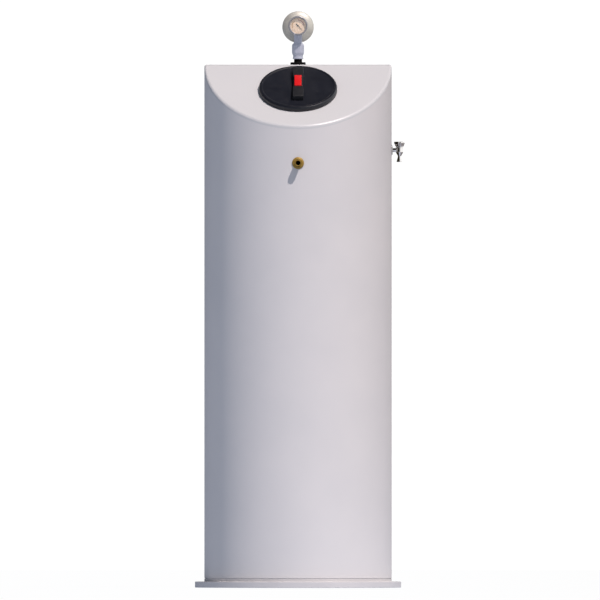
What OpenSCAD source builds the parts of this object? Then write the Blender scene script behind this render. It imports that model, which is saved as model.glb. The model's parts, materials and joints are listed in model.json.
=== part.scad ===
// Upright tank water heater: a round insulated tank on a base disc, with a roof whose front half
// slopes, a flanged immersion heater under a black cap, a pressure gauge, a relief valve and ports.
// Frame: millimetres, +Z up, front is -Y, origin at the middle of the base underside.

/* [Jacket and roof] */
// Outside diameter of the round jacket
body_d = 600; // [500:5:720]
// Height of the roof ridge above the floor
body_h = 1675; // [1390:5:2010]
// Thickness of the jacket sheet
jacket_t = 1.0; // [0.6:0.1:1.6]
// Slope of the front half of the roof, in degrees
roof_slope = 33.5; // [27:0.5:41]
// Thickness of the roof cover
roof_t = 3; // [2.5:0.5:4]
// Height of the roof cover's flush rim
rim_h = 12; // [8:1:16]
// Depth of the locating skirt below the rim
skirt_h = 22; // [15:1:30]

/* [Base] */
// How far the base disc stands out past the jacket
base_lip = 30; // [20:1:40]
// Thickness of the base disc
base_t = 19; // [15:1:24]
// Height of the cove between the disc and the jacket
cove_h = 10; // [6:1:14]
// Height of the ring that locates the jacket
locating_h = 20; // [12:1:30]

/* [Vessel] */
// Thickness of the foam between vessel and jacket
foam_t = 50; // [40:1:60]
// Wall of the steel vessel
vessel_t = 3; // [2:0.5:4]
// Least distance from the top head to the sloped roof
roof_gap = 48; // [44:1:60]
// Space between the base disc and the bottom head
bottom_gap = 46; // [38:1:60]
// How far the standing ring lies inside the vessel wall
stand_inset = 50; // [40:1:60]
// Wall of the standing ring
stand_t = 4; // [3:0.5:5]

/* [Heater flange] */
// How far the cap reaches past the heater plate
cap_overlap = 30; // [26:1:34]
// Depth of the heater plate's face below the roof surface
plate_depth = 8; // [8:0.5:10]
// Thickness of the heater plate
plate_t = 10; // [8:1:12]
// Thickness of the flange gasket
gasket_t = 3; // [2:0.5:4]
// Thickness of the welded flange ring
ring_t = 12; // [10:1:14]
// Width of the flange outside the neck
flange_w = 35; // [34:1:38]
// Wall of the neck
neck_t = 4; // [3:0.5:5]
// Diameter of the flange bolts
bolt_d = 10; // [8:1:10]
// Length of each heating element below the plate
element_len = 500; // [400:10:520]
// Diameter of the element tube
element_d = 8.5; // [7:0.5:9]
// Length of the anode below the plate
anode_len = 420; // [300:10:450]
// Length of the thermostat pocket below the plate
pocket_len = 300; // [200:10:320]

/* [Heater cap and switch] */
// Diameter of the round cap
cap_d = 250; // [246:2:300]
// Height of the cap above the roof
cap_h = 16; // [15:1:20]
// Wall of the cap
cap_wall = 3; // [2.5:0.5:3.5]
// Width and height of the bevel round the cap
cap_bevel = 5; // [4:1:9]
// Distance from the ridge to the cap, along the slope
cap_ridge_gap = 30; // [25:1:40]
// Width of the raised spine
spine_w = 35; // [34:0.5:42]
// Height of the spine above the cap
spine_h = 17.7; // [17:0.1:21.5]
// How far the spine reaches towards the ridge
spine_up = 88.8; // [84:0.1:98]
// How far the spine reaches downhill
spine_down = 82.4; // [80:0.1:95]
// Wall of the spine
spine_wall = 2.5; // [2:0.5:3]
// Width of the rocker
rocker_w = 22.6; // [20:0.1:25]
// Length of the rocker
rocker_l = 54; // [45:0.5:60]
// Distance of the rocker's pivot uphill of the cap's centre
rocker_y = 3; // [0:0.5:12]
// Angle that the rocker turns through
rocker_travel = 12; // [8:1:14]

/* [Gauge] */
// Distance of the gauge riser behind the ridge
riser_y = 60; // [50:1:70]
// Outside diameter of the riser pipe
riser_d = 22; // [18:1:24]
// Wall of the riser pipe
riser_t = 2.5; // [2:0.5:3]
// Height of the dial's centre above the ridge
dial_rise = 125; // [120:1:150]
// Outside diameter of the gauge bezel
bezel_d = 62; // [58:1:66]
// Depth of the gauge case
case_depth = 26; // [24:1:30]
// Length of the needle's long arm
needle_len = 21; // [16:0.5:22]
// Diameter of the expansion dome
dome_d = 101; // [96:1:110]
// How far the dome's centre lies below the dial's
dome_drop = 3; // [0:0.5:4]

/* [Ports] */
// Depth of the hot outlet below the vessel's top seam
outlet_drop = 53.5; // [40:1:120]
// Depth of the relief valve below the vessel's top seam
relief_drop = 9; // [7:1:60]
// Height of the cold inlet above the vessel's bottom seam
inlet_rise = 50; // [45:5:110]
// Depth of the cable gland below the ridge
gland_drop = 115; // [70:5:200]
// Outside diameter of the outlet and inlet stubs
stub_d = 21; // [19:0.5:24]
// Bore of the outlet and inlet stubs
stub_bore = 15; // [12:0.5:16]
// How far the stubs stand out past the jacket
stub_out = 31; // [25:1:40]
// Diameter of the brass rosettes
rosette_d = 38; // [34:1:42]
// Distance of the relief valve's axis from the jacket
relief_out = 25; // [22:0.5:32]
// Lift of the relief valve's stem
relief_lift = 2; // [1.5:0.1:2.5]

/* [Hidden] */
$fn = 96;
fit = 0.05;             // running fit, on the radius
gap = 0.3;              // clearance between separate pieces, on the radius
far = 3000;             // longer than anything here
body_r = body_d / 2;
vessel_r = body_r - foam_t;
head_h = vessel_r / 2;  // two-to-one elliptical heads
head_steps = 18;
head_reach = sqrt(pow(vessel_r * sin(roof_slope), 2) + pow(head_h * cos(roof_slope), 2));
vessel_top = body_h - (roof_gap + head_reach) / cos(roof_slope);
vessel_low = base_t + bottom_gap + head_h;
jacket_low = base_t + cove_h;
skirt_r = body_r - jacket_t - gap;
skirt_in = skirt_r - 3;
stand_r = vessel_r - stand_inset;
stand_foot = 15;        // half width of the foot flange under the standing ring

// The slope's own frame: its origin is the cap's centre on the roof, z is the outward normal
cap_r = cap_d / 2;
cap_from_ridge = cap_ridge_gap + cap_r;
cap_y = -cap_from_ridge * cos(roof_slope);
cap_z = body_h - cap_from_ridge * sin(roof_slope);
plate_r = cap_r - cap_overlap;
plate_low = -plate_depth - plate_t;
gasket_low = plate_low - gasket_t;
ring_low = gasket_low - ring_t;
neck_r = plate_r - flange_w;
neck_in = neck_r - neck_t;
bolt_circle = (plate_r + neck_r) / 2 + 2.5;
bolt_count = 8;
bolt_head_h = 6.4;
bolt_turn = 180 / bolt_count;
cover_hole_r = plate_r + 9;
spigot_r = cover_hole_r - 0.5;
spigot_h = roof_t + 3;
seal_in = cover_hole_r + 5;
seal_out = seal_in + 5;
seal_t = 2;
leg_circle = neck_in - 22; // middle of each element's pair of legs, from the plate's centre
leg_spread = 12;        // half the distance between a pair of legs
leg_up = 8;             // the element's cold ends above the plate
anode_thread_r = 11;
anode_r = 9;
pocket_x = leg_circle;
pocket_r = 5;
thermostat_x = pocket_x + 8;
thermostat_size = [36, 28, 13];
knob_h = 5.5;
knob_lift = 0.5;
spindle_r = 2.5;
terminal_x = 26 - plate_r;
terminal_size = [24, 34, 12];
post_y = min(spine_up, spine_down) - 12.4;
post_r = 5;
screw_r = 2;

// Rocker and its housing
spine_top = cap_h + spine_h;
pivot_z = spine_top - 1;
pin_r = 2.2;
housing_wall = 1.5;
housing_l = rocker_l + 2 * gap + 2 * housing_wall + 0.8;
housing_w = rocker_w + 2 * gap + 2 * housing_wall;
housing_deep = 14;
spine_waist = housing_w + 2 * gap + 3;
waist_reach = 40;       // half length of the spine's waist

// Gauge stack
riser_r = riser_d / 2;
flange_r = riser_r + 13.5;
flange_t = 8.5;
collar_h = 10.2;
collar_r = riser_r + 1.85;
tail_r = riser_r + 5;
tail_low = body_h + flange_t + collar_h;
tail_h = 12.3;
nut_low = tail_low + tail_h;
nut_h = 38;
nut_r = riser_r + 8.4;
stem_low = nut_low + nut_h;
stem_r = 13.75;
stem_bore = 6;
dial_z = body_h + dial_rise;
case_r = bezel_d / 2 - 1.5;
case_back = riser_y - stem_r - 4.5;
case_front = case_back - case_depth;
case_wall = 1.5;
glass_t = 1.5;
dial_t = 0.8;
dial_back = case_front + 9;
arbor_r = 1;
needle_turn = 45;       // the needle points down to the right, midway between level and plumb
dome_r = dome_d / 2;
dome_z = dial_z - dome_drop;
dome_front = 16;        // depth of the dome's front shell
dome_rear = 22;         // depth of its rear shell
dome_wall = 1.2;
dome_seam = riser_y + stem_r + 6 + dome_front;

// Ports
outlet_z = vessel_top - outlet_drop;
relief_z = vessel_top - relief_drop;
inlet_z = vessel_low + inlet_rise;
gland_z = body_h - gland_drop;
stub_r = stub_d / 2;
socket_r = stub_r + 4;
socket_len = foam_t - 16;
stub_in = 12;           // how far each stub reaches inside the vessel
rosette_t = 5;
groove_w = 2;           // groove between the rosette and each stub's free end
groove_deep = 0.8;
elbow_r = 26;
relief_pipe_r = 5.3;
relief_bore = 3.5;
relief_boss_r = 6.5;
relief_x = body_r + relief_out;
relief_low = -19;       // the body's lower end, from the pipe's axis
relief_high = 7;
relief_body_r = 12;
chamber_r = 8.5;
seat_z = -7;
bonnet_t = 4;
knob_low = relief_high + bonnet_t + 0.4;
knob_high = 27;
relief_stem_r = 2;
disc_r = 6;
disc_t = 2.5;
stem_len = 27;
spring_wire = 0.5;
spring_r = 4;
spring_turns = 5;
tail_low_r = 9;
tail_len = 19;
tail_bore = 4;

// Node names, one for each separate piece

function ring_point(r, a) = [r * cos(a), r * sin(a)];

// Everything below the roof planes, both moved inwards by depth
module under_roof(depth = 0) {
  edge = 2 * body_d;
  front = body_h - depth / cos(roof_slope);
  rotate([90, 0, 90])
    linear_extrude(height = 2 * edge, center = true)
      polygon([
        [-edge, front - edge * tan(roof_slope) - far],
        [edge, front - edge * tan(roof_slope) - far],
        [edge, body_h - depth],
        [depth * tan(roof_slope / 2), body_h - depth],
        [-edge, front - edge * tan(roof_slope)]
      ]);
}

module on_slope() {
  translate([0, cap_y, cap_z])
    rotate([roof_slope, 0, 0])
      children();
}

// The child's z axis points outwards from the tank at this angle and height
module at_port(angle, z) {
  translate([0, 0, z])
    rotate([0, 0, angle])
      rotate([0, 90, 0])
        children();
}

module tube(r_out, r_in, low, high) {
  difference() {
    translate([0, 0, low])
      cylinder(r = r_out, h = high - low);
    translate([0, 0, low - 1])
      cylinder(r = r_in, h = high - low + 2);
  }
}

module ring_of(count, r, first = 0) {
  for (i = [0 : count - 1])
    rotate([0, 0, first + i * 360 / count])
      translate([r, 0, 0])
        children();
}

module hexagon(across, h) {
  cylinder(r = across / sqrt(3), h = h, $fn = 6);
}

// Solid half ellipsoid that stands on z = 0
module head_solid(r, h) {
  steps = [for (i = [0 : head_steps]) i * 90 / head_steps];
  rotate_extrude()
    polygon(concat([[0, 0]], [for (a = steps) [a == 90 ? 0 : r * cos(a), h * sin(a)]]));
}

module head_shell() {
  difference() {
    head_solid(vessel_r, head_h);
    translate([0, 0, -0.01])
      head_solid(vessel_r - vessel_t, head_h - vessel_t);
  }
}

module riser_axis() {
  translate([0, riser_y, 0])
    children();
}

// Looks along +Y from the dial's centre: the child's z axis points to the front
module at_dial(y = 0) {
  translate([0, y, dial_z])
    rotate([90, 0, 0])
      children();
}

// ---- Base, jacket and roof ----

module base_plate() {
  cove = [for (i = [0 : 8]) let (a = 270 - i * 90 / 8)
    [body_r + cove_h + ring_point(cove_h, a)[0], base_t + cove_h + ring_point(cove_h, a)[1]]];
  edge = 3;
  color("gainsboro")
    difference() {
      rotate_extrude()
        polygon(concat(
          [[0, 0], [body_r + base_lip - edge, 0]],
          [for (a = [-90 : 30 : 0]) [body_r + base_lip - edge, edge] + ring_point(edge, a)],
          [for (a = [0 : 30 : 90]) [body_r + base_lip - edge, base_t - edge] + ring_point(edge, a)],
          cove,
          [
            [skirt_r, jacket_low],
            [skirt_r, jacket_low + locating_h],
            [skirt_r - 4, jacket_low + locating_h],
            [skirt_r - 4, base_t],
            [0, base_t]
          ]
        ));
      ring_of(4, stand_r - stand_t / 2, 45) {
        translate([0, 0, -1])
          cylinder(r = 4 + gap, h = base_t + 2);
        translate([0, 0, -1])
          cylinder(r = 9, h = 9);
      }
    }
}

module outer_jacket() {
  color("whitesmoke")
    difference() {
      intersection() {
        tube(body_r, body_r - jacket_t, jacket_low, body_h);
        translate([0, 0, -rim_h])
          under_roof();
      }
      at_port(-90, outlet_z)
        cylinder(r = stub_r + 2, h = far);
      at_port(90, inlet_z)
        cylinder(r = stub_r + 2, h = far);
      at_port(90, gland_z)
        cylinder(r = 8 + gap, h = far);
      at_port(0, relief_z)
        cylinder(r = relief_pipe_r + 2, h = far);
    }
}

module roof_cover() {
  color("whitesmoke")
    difference() {
      union() {
        difference() {
          intersection() {
            cylinder(r = body_r, h = body_h);
            under_roof();
          }
          intersection() {
            translate([0, 0, -1])
              cylinder(r = body_r - roof_t, h = body_h + 1);
            under_roof(roof_t);
          }
          translate([0, 0, -rim_h])
            under_roof();
        }
        difference() {
          intersection() {
            tube(skirt_r, skirt_in, vessel_low, body_h);
            under_roof(roof_t / 2);
          }
          translate([0, 0, -rim_h - skirt_h])
            under_roof();
        }
      }
      on_slope()
        translate([0, 0, -20])
          cylinder(r = cover_hole_r, h = 40);
      riser_axis()
        translate([0, 0, body_h - 20])
          cylinder(r = riser_r + 3, h = 40);
    }
}

// ---- Foam ----

module side_insulation() {
  color("moccasin")
    difference() {
      tube(skirt_r - 4 - gap, vessel_r + gap, base_t + 1, vessel_top - gap);
      at_port(-90, outlet_z)
        cylinder(r = socket_r + 1, h = far);
      at_port(90, inlet_z)
        cylinder(r = socket_r + 1, h = far);
      at_port(0, relief_z)
        cylinder(r = relief_pipe_r + 1, h = far);
    }
}

module top_insulation() {
  color("moccasin")
    difference() {
      intersection() {
        translate([0, 0, vessel_top + gap])
          cylinder(r = skirt_in - 1, h = body_h);
        under_roof(roof_t + 1);
      }
      translate([0, 0, vessel_top])
        head_solid(vessel_r + 1, head_h + 1);
      on_slope() {
        translate([0, 0, ring_low - 12])
          cylinder(r = cover_hole_r + 1, h = far);
        mirror([0, 0, 1])
          cylinder(r = neck_r + 1, h = 200);
      }
      riser_axis()
        translate([0, 0, vessel_top])
          cylinder(r = riser_r + 4, h = far);
      at_port(90, gland_z)
        translate([0, 0, body_r - 25])
          cylinder(r = 20, h = far);
      at_port(0, relief_z)
        cylinder(r = relief_pipe_r + 1, h = far);
      at_port(-90, outlet_z)
        cylinder(r = socket_r + 1, h = far);
    }
}

// ---- Vessel ----

module vessel_shell() {
  color("slategray")
    difference() {
      tube(vessel_r, vessel_r - vessel_t, vessel_low, vessel_top);
      at_port(-90, outlet_z)
        cylinder(r = stub_r + gap, h = far);
      at_port(90, inlet_z)
        cylinder(r = stub_r + gap, h = far);
      at_port(0, relief_z)
        cylinder(r = relief_pipe_r + fit, h = far);
    }
}

module vessel_top_head() {
  color("slategray")
    difference() {
      translate([0, 0, vessel_top])
        head_shell();
      on_slope()
        mirror([0, 0, 1])
          cylinder(r = neck_in, h = 200);
      riser_axis()
        translate([0, 0, vessel_top])
          cylinder(r = riser_r + fit, h = far);
    }
}

module vessel_bottom_head() {
  color("slategray")
    translate([0, 0, vessel_low])
      mirror([0, 0, 1])
        head_shell();
}

module standing_ring() {
  color("dimgray")
    difference() {
      union() {
        tube(stand_r, stand_r - stand_t, base_t, vessel_low);
        tube(stand_r - stand_t / 2 + stand_foot, stand_r - stand_t / 2 - stand_foot,
          base_t, base_t + 5);
        ring_of(4, stand_r - stand_t / 2, 45)
          translate([0, 0, base_t])
            cylinder(r = 9, h = 16);
      }
      translate([0, 0, vessel_low])
        mirror([0, 0, 1])
          head_solid(vessel_r + fit, head_h + fit);
      ring_of(4, stand_r - stand_t / 2, 45)
        translate([0, 0, base_t - 1])
          cylinder(r = 4 + fit, h = 13);
    }
}

module base_screws() {
  color("silver")
    ring_of(4, stand_r - stand_t / 2, 45) {
      translate([0, 0, 3])
        hexagon(13, 5);
      translate([0, 0, 8])
        cylinder(r = 4, h = base_t + 2);
    }
}

// ---- Immersion heater ----

module heater_neck() {
  color("slategray")
    difference() {
      on_slope()
        tube(neck_r, neck_in, -200, gasket_low);
      translate([0, 0, vessel_top])
        head_solid(vessel_r + fit, head_h + fit);
      translate([0, 0, vessel_top - body_h])
        cylinder(r = body_d, h = body_h);
    }
}

module flange_ring() {
  color("slategray")
    on_slope()
      difference() {
        tube(plate_r, neck_r + fit, ring_low, gasket_low);
        ring_of(bolt_count, bolt_circle, bolt_turn)
          translate([0, 0, ring_low - 1])
            cylinder(r = bolt_d / 2 + 0.5, h = ring_t + 2);
      }
}

module flange_gasket() {
  color("darkred")
    on_slope()
      difference() {
        tube(plate_r, neck_in, gasket_low, plate_low);
        ring_of(bolt_count, bolt_circle, bolt_turn)
          translate([0, 0, gasket_low - 1])
            cylinder(r = bolt_d / 2 + 0.5, h = gasket_t + 2);
      }
}

module element_legs() {
  ring_of(3, leg_circle, 60)
    for (side = [-1, 1])
      translate([0, side * leg_spread, 0])
        children();
}

module heater_plate() {
  color("silver")
    on_slope()
      difference() {
        translate([0, 0, plate_low])
          cylinder(r = plate_r, h = plate_t);
        translate([0, 0, plate_low - 1]) {
          ring_of(bolt_count, bolt_circle, bolt_turn)
            cylinder(r = bolt_d / 2 + 0.5, h = plate_t + 2);
          element_legs()
            cylinder(r = element_d / 2 + fit, h = plate_t + 2);
          cylinder(r = anode_thread_r + fit, h = plate_t + 2);
          translate([pocket_x, 0, 0])
            cylinder(r = pocket_r + fit, h = plate_t + 2);
        }
      }
}

module flange_bolts() {
  color("silver")
    on_slope()
      ring_of(bolt_count, bolt_circle, bolt_turn) {
        translate([0, 0, -plate_depth])
          hexagon(1.7 * bolt_d, bolt_head_h);
        translate([0, 0, ring_low - 11])
          cylinder(r = bolt_d / 2, h = 11 - ring_low - plate_depth);
      }
}

module flange_nuts() {
  color("silver")
    on_slope()
      ring_of(bolt_count, bolt_circle, bolt_turn)
        translate([0, 0, ring_low - 8])
          difference() {
            hexagon(1.7 * bolt_d, 8);
            translate([0, 0, -1])
              cylinder(r = bolt_d / 2 + fit, h = 10);
          }
}

module heating_elements() {
  bend = plate_low - element_len + leg_spread;
  color("darkgray")
    on_slope()
      ring_of(3, leg_circle, 60) {
        for (side = [-1, 1])
          translate([0, side * leg_spread, bend])
            cylinder(r = element_d / 2, h = leg_up - plate_depth - bend);
        translate([0, 0, bend])
          rotate([0, 0, 90])
            rotate([-90, 0, 0])
              rotate_extrude(angle = 180)
                translate([leg_spread, 0])
                  circle(r = element_d / 2);
      }
}

module anode_rod() {
  color("darkkhaki")
    on_slope() {
      translate([0, 0, -plate_depth])
        hexagon(27, 5);
      translate([0, 0, plate_low - 2])
        cylinder(r = anode_thread_r, h = plate_t + 2);
      translate([0, 0, plate_low - anode_len])
        cylinder(r = anode_r, h = anode_len);
    }
}

module thermostat_pocket() {
  color("peru")
    on_slope()
      translate([pocket_x, 0, 0])
        difference() {
          translate([0, 0, plate_low - pocket_len])
            cylinder(r = pocket_r, h = pocket_len + plate_t);
          translate([0, 0, plate_low - pocket_len + 2])
            cylinder(r = pocket_r - 1, h = far);
        }
}

module thermostat() {
  color("ivory")
    on_slope()
      difference() {
        union() {
          translate([thermostat_x - thermostat_size[0] / 2, -thermostat_size[1] / 2, -plate_depth])
            cube(thermostat_size);
          translate([pocket_x, 0, plate_low - pocket_len + 10])
            cylinder(r = pocket_r - 1 - gap, h = pocket_len + plate_t - 8);
        }
        translate([thermostat_x, 0, thermostat_size[2] - plate_depth - 6])
          cylinder(r = spindle_r + fit, h = 10);
      }
}

module thermostat_knob() {
  low = thermostat_size[2] - plate_depth;
  color("dimgray")
    on_slope()
      translate([thermostat_x, 0, 0])
        difference() {
          union() {
            translate([0, 0, low + knob_lift])
              cylinder(r = 9, h = knob_h);
            translate([0, 0, low - 5.5])
              cylinder(r = spindle_r, h = 7);
          }
          translate([-0.8, 0, low + knob_lift + knob_h - 1])
            cube([1.6, 12, 3]);
        }
}

module terminal_block() {
  color("ivory")
    on_slope()
      difference() {
        translate([terminal_x, 0, terminal_size[2] / 2 - plate_depth])
          cube(terminal_size, center = true);
        for (i = [-1 : 1])
          translate([terminal_x, i * 11, terminal_size[2] - plate_depth - 8])
            cylinder(r = 2.5, h = 10);
      }
}

module cap_posts() {
  color("silver")
    on_slope()
      for (side = [-1, 1])
        translate([0, side * post_y, -plate_depth])
          difference() {
            cylinder(r = post_r, h = plate_depth + cap_h - cap_wall - gap);
            translate([0, 0, plate_depth])
              cylinder(r = screw_r + fit, h = 30);
          }
}

module cap_screws() {
  color("silver")
    on_slope()
      for (side = [-1, 1])
        translate([0, side * post_y, 0]) {
          translate([0, 0, cap_h])
            cylinder(r = 4, h = 2.5);
          translate([0, 0, cap_h - 12])
            cylinder(r = screw_r, h = 13);
        }
}

// ---- Cap, spine and rocker ----

module heater_cap() {
  color([0.13, 0.14, 0.17])
    on_slope()
      difference() {
        rotate_extrude()
          polygon([
            [0, cap_h - cap_wall],
            [cap_r - cap_wall - cap_bevel, cap_h - cap_wall],
            [cap_r - cap_wall - 2, cap_h - cap_bevel],
            [cap_r - cap_wall - 2, 4],
            [spigot_r - 3, 4],
            [spigot_r - 3, -spigot_h],
            [spigot_r, -spigot_h],
            [spigot_r, gap],
            [seal_in, gap],
            [seal_in, seal_t],
            [seal_out, seal_t],
            [seal_out, gap],
            [cap_r - 1, gap],
            [cap_r, 1 + gap],
            [cap_r, cap_h - cap_bevel],
            [cap_r - cap_bevel * 0.3, cap_h - cap_bevel * 0.3],
            [cap_r - cap_bevel, cap_h],
            [0, cap_h]
          ]);
        for (side = [-1, 1])
          translate([0, side * post_y, 0])
            cylinder(r = screw_r + gap, h = far);
        for (side = [-1, 1])
          translate([0, side * 50, 0])
            cylinder(r = 4, h = far);
      }
}

module cap_seal() {
  color([0.1, 0.1, 0.1])
    on_slope()
      tube(seal_out - fit, seal_in + fit, 0, seal_t);
}

// Outline of the spine from above, drawn in by inset: square ends and a waist beside the rocker
module spine_outline(inset) {
  w = spine_w / 2 - inset;
  waist = spine_waist / 2 - inset;
  polygon([
    [-w, -spine_down + inset], [w, -spine_down + inset],
    [w, rocker_y - waist_reach], [waist, rocker_y - waist_reach / 2],
    [waist, rocker_y + waist_reach / 2], [w, rocker_y + waist_reach],
    [w, spine_up - inset], [-w, spine_up - inset],
    [-w, rocker_y + waist_reach], [-waist, rocker_y + waist_reach / 2],
    [-waist, rocker_y - waist_reach / 2], [-w, rocker_y - waist_reach]
  ]);
}

module switch_spine() {
  color([0.15, 0.16, 0.17])
    on_slope()
      difference() {
        translate([0, 0, cap_h])
          linear_extrude(height = spine_h)
            spine_outline(0);
        difference() {
          translate([0, 0, cap_h - 1])
            linear_extrude(height = spine_h + 1 - spine_wall)
              spine_outline(spine_wall);
          translate([0, rocker_y, cap_h + spine_h / 2])
            cube([2 * spine_w, housing_l + 5, 2 * spine_h], center = true);
        }
        translate([0, rocker_y, cap_h - 1 + far / 2])
          cube([housing_w + 2 * gap, housing_l + 2 * gap, far], center = true);
      }
}

module switch_housing() {
  color([0.08, 0.08, 0.09])
    on_slope()
      translate([0, rocker_y, pivot_z])
        difference() {
          translate([0, 0, -housing_deep / 2 + 0.5])
            cube([housing_w, housing_l, housing_deep + 1], center = true);
          translate([0, 0, -housing_deep / 2 + 2 + 10])
            cube([rocker_w + 2 * gap, housing_l - 2 * housing_wall, housing_deep + 20], center = true);
          rotate([0, 90, 0])
            cylinder(r = pin_r + fit, h = 2 * housing_w, center = true);
        }
}

module rocker_button() {
  tilt = rocker_travel / 2;
  reach = rocker_l / 2;
  rise = reach * tan(tilt);
  color("red")
    on_slope()
      translate([0, rocker_y, pivot_z])
        rotate([tilt, 0, 0]) {
          intersection() {
            rotate([90, 0, 90])
              linear_extrude(height = rocker_w, center = true)
                polygon([
                  [-reach, -5], [reach, -5],
                  [reach, 4 + rise], [0, 4], [-reach, 4 + rise]
                ]);
            rotate([0, 90, 0])
              cylinder(r = reach, h = 2 * rocker_w, center = true);
          }
          rotate([0, 90, 0])
            cylinder(r = pin_r, h = housing_w - 0.4, center = true);
        }
}

// ---- Cable gland ----

module gland_body() {
  color([0.1, 0.1, 0.1])
    at_port(90, gland_z)
      difference() {
        union() {
          translate([0, 0, body_r + gap])
            hexagon(22, 6);
          translate([0, 0, body_r + gap + 6])
            cylinder(r1 = 11, r2 = 7.5, h = 12);
          translate([0, 0, body_r - 14])
            cylinder(r = 8, h = 15);
        }
        cylinder(r = 4, h = far);
      }
}

module gland_nut() {
  color([0.1, 0.1, 0.1])
    at_port(90, gland_z)
      translate([0, 0, body_r - jacket_t - 6.5])
        difference() {
          hexagon(22, 5);
          translate([0, 0, -1])
            cylinder(r = 8 + fit, h = 8);
        }
}

// ---- Water ports ----

module socket(angle, z) {
  difference() {
    at_port(angle, z)
      tube(socket_r, stub_r + fit, vessel_r - 20, vessel_r + socket_len);
    cylinder(r = vessel_r + fit, h = far);
  }
}

module stub(angle, z) {
  at_port(angle, z)
    difference() {
      tube(stub_r, stub_bore / 2, vessel_r - stub_in, body_r + stub_out);
      tube(stub_r + 1, stub_r - groove_deep, body_r + rosette_t, body_r + rosette_t + groove_w);
      translate([0, 0, body_r + stub_out - 1])
        cylinder(r1 = stub_bore / 2, r2 = stub_bore / 2 + 1.2, h = 1.2);
    }
}

module rosette(angle, z) {
  at_port(angle, z)
    difference() {
      union() {
        translate([0, 0, body_r + fit])
          cylinder(r = rosette_d / 2, h = rosette_t - 2);
        translate([0, 0, body_r + fit + rosette_t - 2])
          cylinder(r1 = rosette_d / 2, r2 = rosette_d / 2 - 3, h = 2);
      }
      cylinder(r = stub_r + gap, h = far);
    }
}

module inlet_socket() {
  color("slategray")
    socket(90, inlet_z);
}

module inlet_stub() {
  color("goldenrod")
    stub(90, inlet_z);
}

module inlet_rosette() {
  color("goldenrod")
    rosette(90, inlet_z);
}

// Bend that turns the incoming cold water down along the bottom head
module inlet_diffuser() {
  color("peru")
    translate([0, vessel_r - stub_in - gap, inlet_z])
      rotate([0, 90, 180])
        translate([elbow_r, 0, 0])
          rotate([0, 0, 90])
            rotate_extrude(angle = 90)
              translate([elbow_r, 0])
                difference() {
                  circle(r = stub_r - 1);
                  circle(r = stub_r - 2.5);
                }
}

module outlet_socket() {
  color("slategray")
    socket(-90, outlet_z);
}

module outlet_stub() {
  color("goldenrod")
    stub(-90, outlet_z);
}

module outlet_rosette() {
  color("goldenrod")
    rosette(-90, outlet_z);
}

// ---- Gauge stack ----

module riser_pipe() {
  color("silver")
    riser_axis()
      tube(riser_r, riser_r - riser_t, vessel_top + head_h - 20, stem_low - 8);
}

module riser_grommet() {
  color([0.05, 0.05, 0.05])
    riser_axis()
      difference() {
        union() {
          translate([0, 0, body_h])
            cylinder(r = flange_r, h = flange_t);
          translate([0, 0, body_h - roof_t - 2])
            cylinder(r = riser_r + 2.6, h = roof_t + 4);
          translate([0, 0, body_h])
            cylinder(r = collar_r, h = flange_t + collar_h);
        }
        translate([0, 0, body_h - 20])
          cylinder(r = riser_r + 0.1, h = far);
      }
}

module union_tail() {
  color("lightslategray")
    riser_axis()
      difference() {
        union() {
          translate([0, 0, tail_low])
            cylinder(r1 = tail_r + 1, r2 = tail_r, h = 3);
          translate([0, 0, tail_low + 3])
            cylinder(r = tail_r, h = tail_h - 3);
        }
        translate([0, 0, tail_low - 1])
          cylinder(r = riser_r + fit, h = tail_h + 2);
      }
}

module union_nut() {
  taper = 8;
  top = 5;
  color("lightslategray")
    riser_axis()
      translate([0, 0, nut_low])
        difference() {
          intersection() {
            hexagon(2 * nut_r * 0.94, nut_h);
            rotate_extrude()
              polygon([
                [0, 0], [tail_r + 0.5, 0], [nut_r, taper],
                [nut_r, nut_h - top], [tail_r - 0.5, nut_h], [0, nut_h]
              ]);
          }
          translate([0, 0, -1])
            cylinder(r = riser_r + fit, h = nut_h + 2);
        }
}

module gauge_manifold() {
  color("lightslategray")
    difference() {
      union() {
        riser_axis()
          translate([0, 0, stem_low + fit])
            cylinder(r = stem_r, h = dial_z + stem_r - stem_low);
        translate([0, riser_y + stem_r - 4, dome_z])
          rotate([-90, 0, 0])
            cylinder(r = 9, h = 4 + 3);
      }
      riser_axis()
        translate([0, 0, stem_low - 1])
          cylinder(r = stem_bore, h = dial_z + 5 - stem_low);
      translate([0, riser_y, dome_z])
        rotate([-90, 0, 0])
          cylinder(r = 5 + fit, h = far);
      at_dial(riser_y)
        cylinder(r = 5 + fit, h = far);
    }
}

module gauge_socket() {
  color("goldenrod")
    at_dial(case_back)
      difference() {
        union() {
          translate([0, 0, -4.2])
            hexagon(14, 4);
          translate([0, 0, -12])
            cylinder(r = 5, h = 12);
          cylinder(r = 4, h = 6);
          translate([-6, -22, case_wall + gap])
            cube([12, 26, 6]);
        }
        bourdon_path(fit);
        translate([0, 0, -20])
          cylinder(r = 1.5, h = 24);
      }
}

module gauge_case() {
  color("slategray")
    at_dial(case_back)
      difference() {
        cylinder(r = case_r, h = case_depth - 3);
        translate([0, 0, case_wall])
          cylinder(r = case_r - case_wall, h = case_depth);
        translate([0, 0, -1])
          cylinder(r = 4 + fit, h = 4);
      }
}

// Curved flat tube that straightens with pressure; its foot is in a slot of the socket block
module bourdon_path(room = 0) {
  rotate([0, 0, -95])
    rotate_extrude(angle = 265)
      translate([19, case_wall + gap + 3.5])
        square([1.6 + 2 * room, 5 + 2 * room], center = true);
}

module bourdon_tube() {
  color("goldenrod")
    at_dial(case_back)
      bourdon_path();
}

module gauge_dial() {
  color("wheat")
    at_dial(dial_back)
      difference() {
        cylinder(r = case_r - case_wall - gap, h = dial_t);
        translate([0, 0, -1])
          cylinder(r = arbor_r + gap, h = 4);
      }
}

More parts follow.
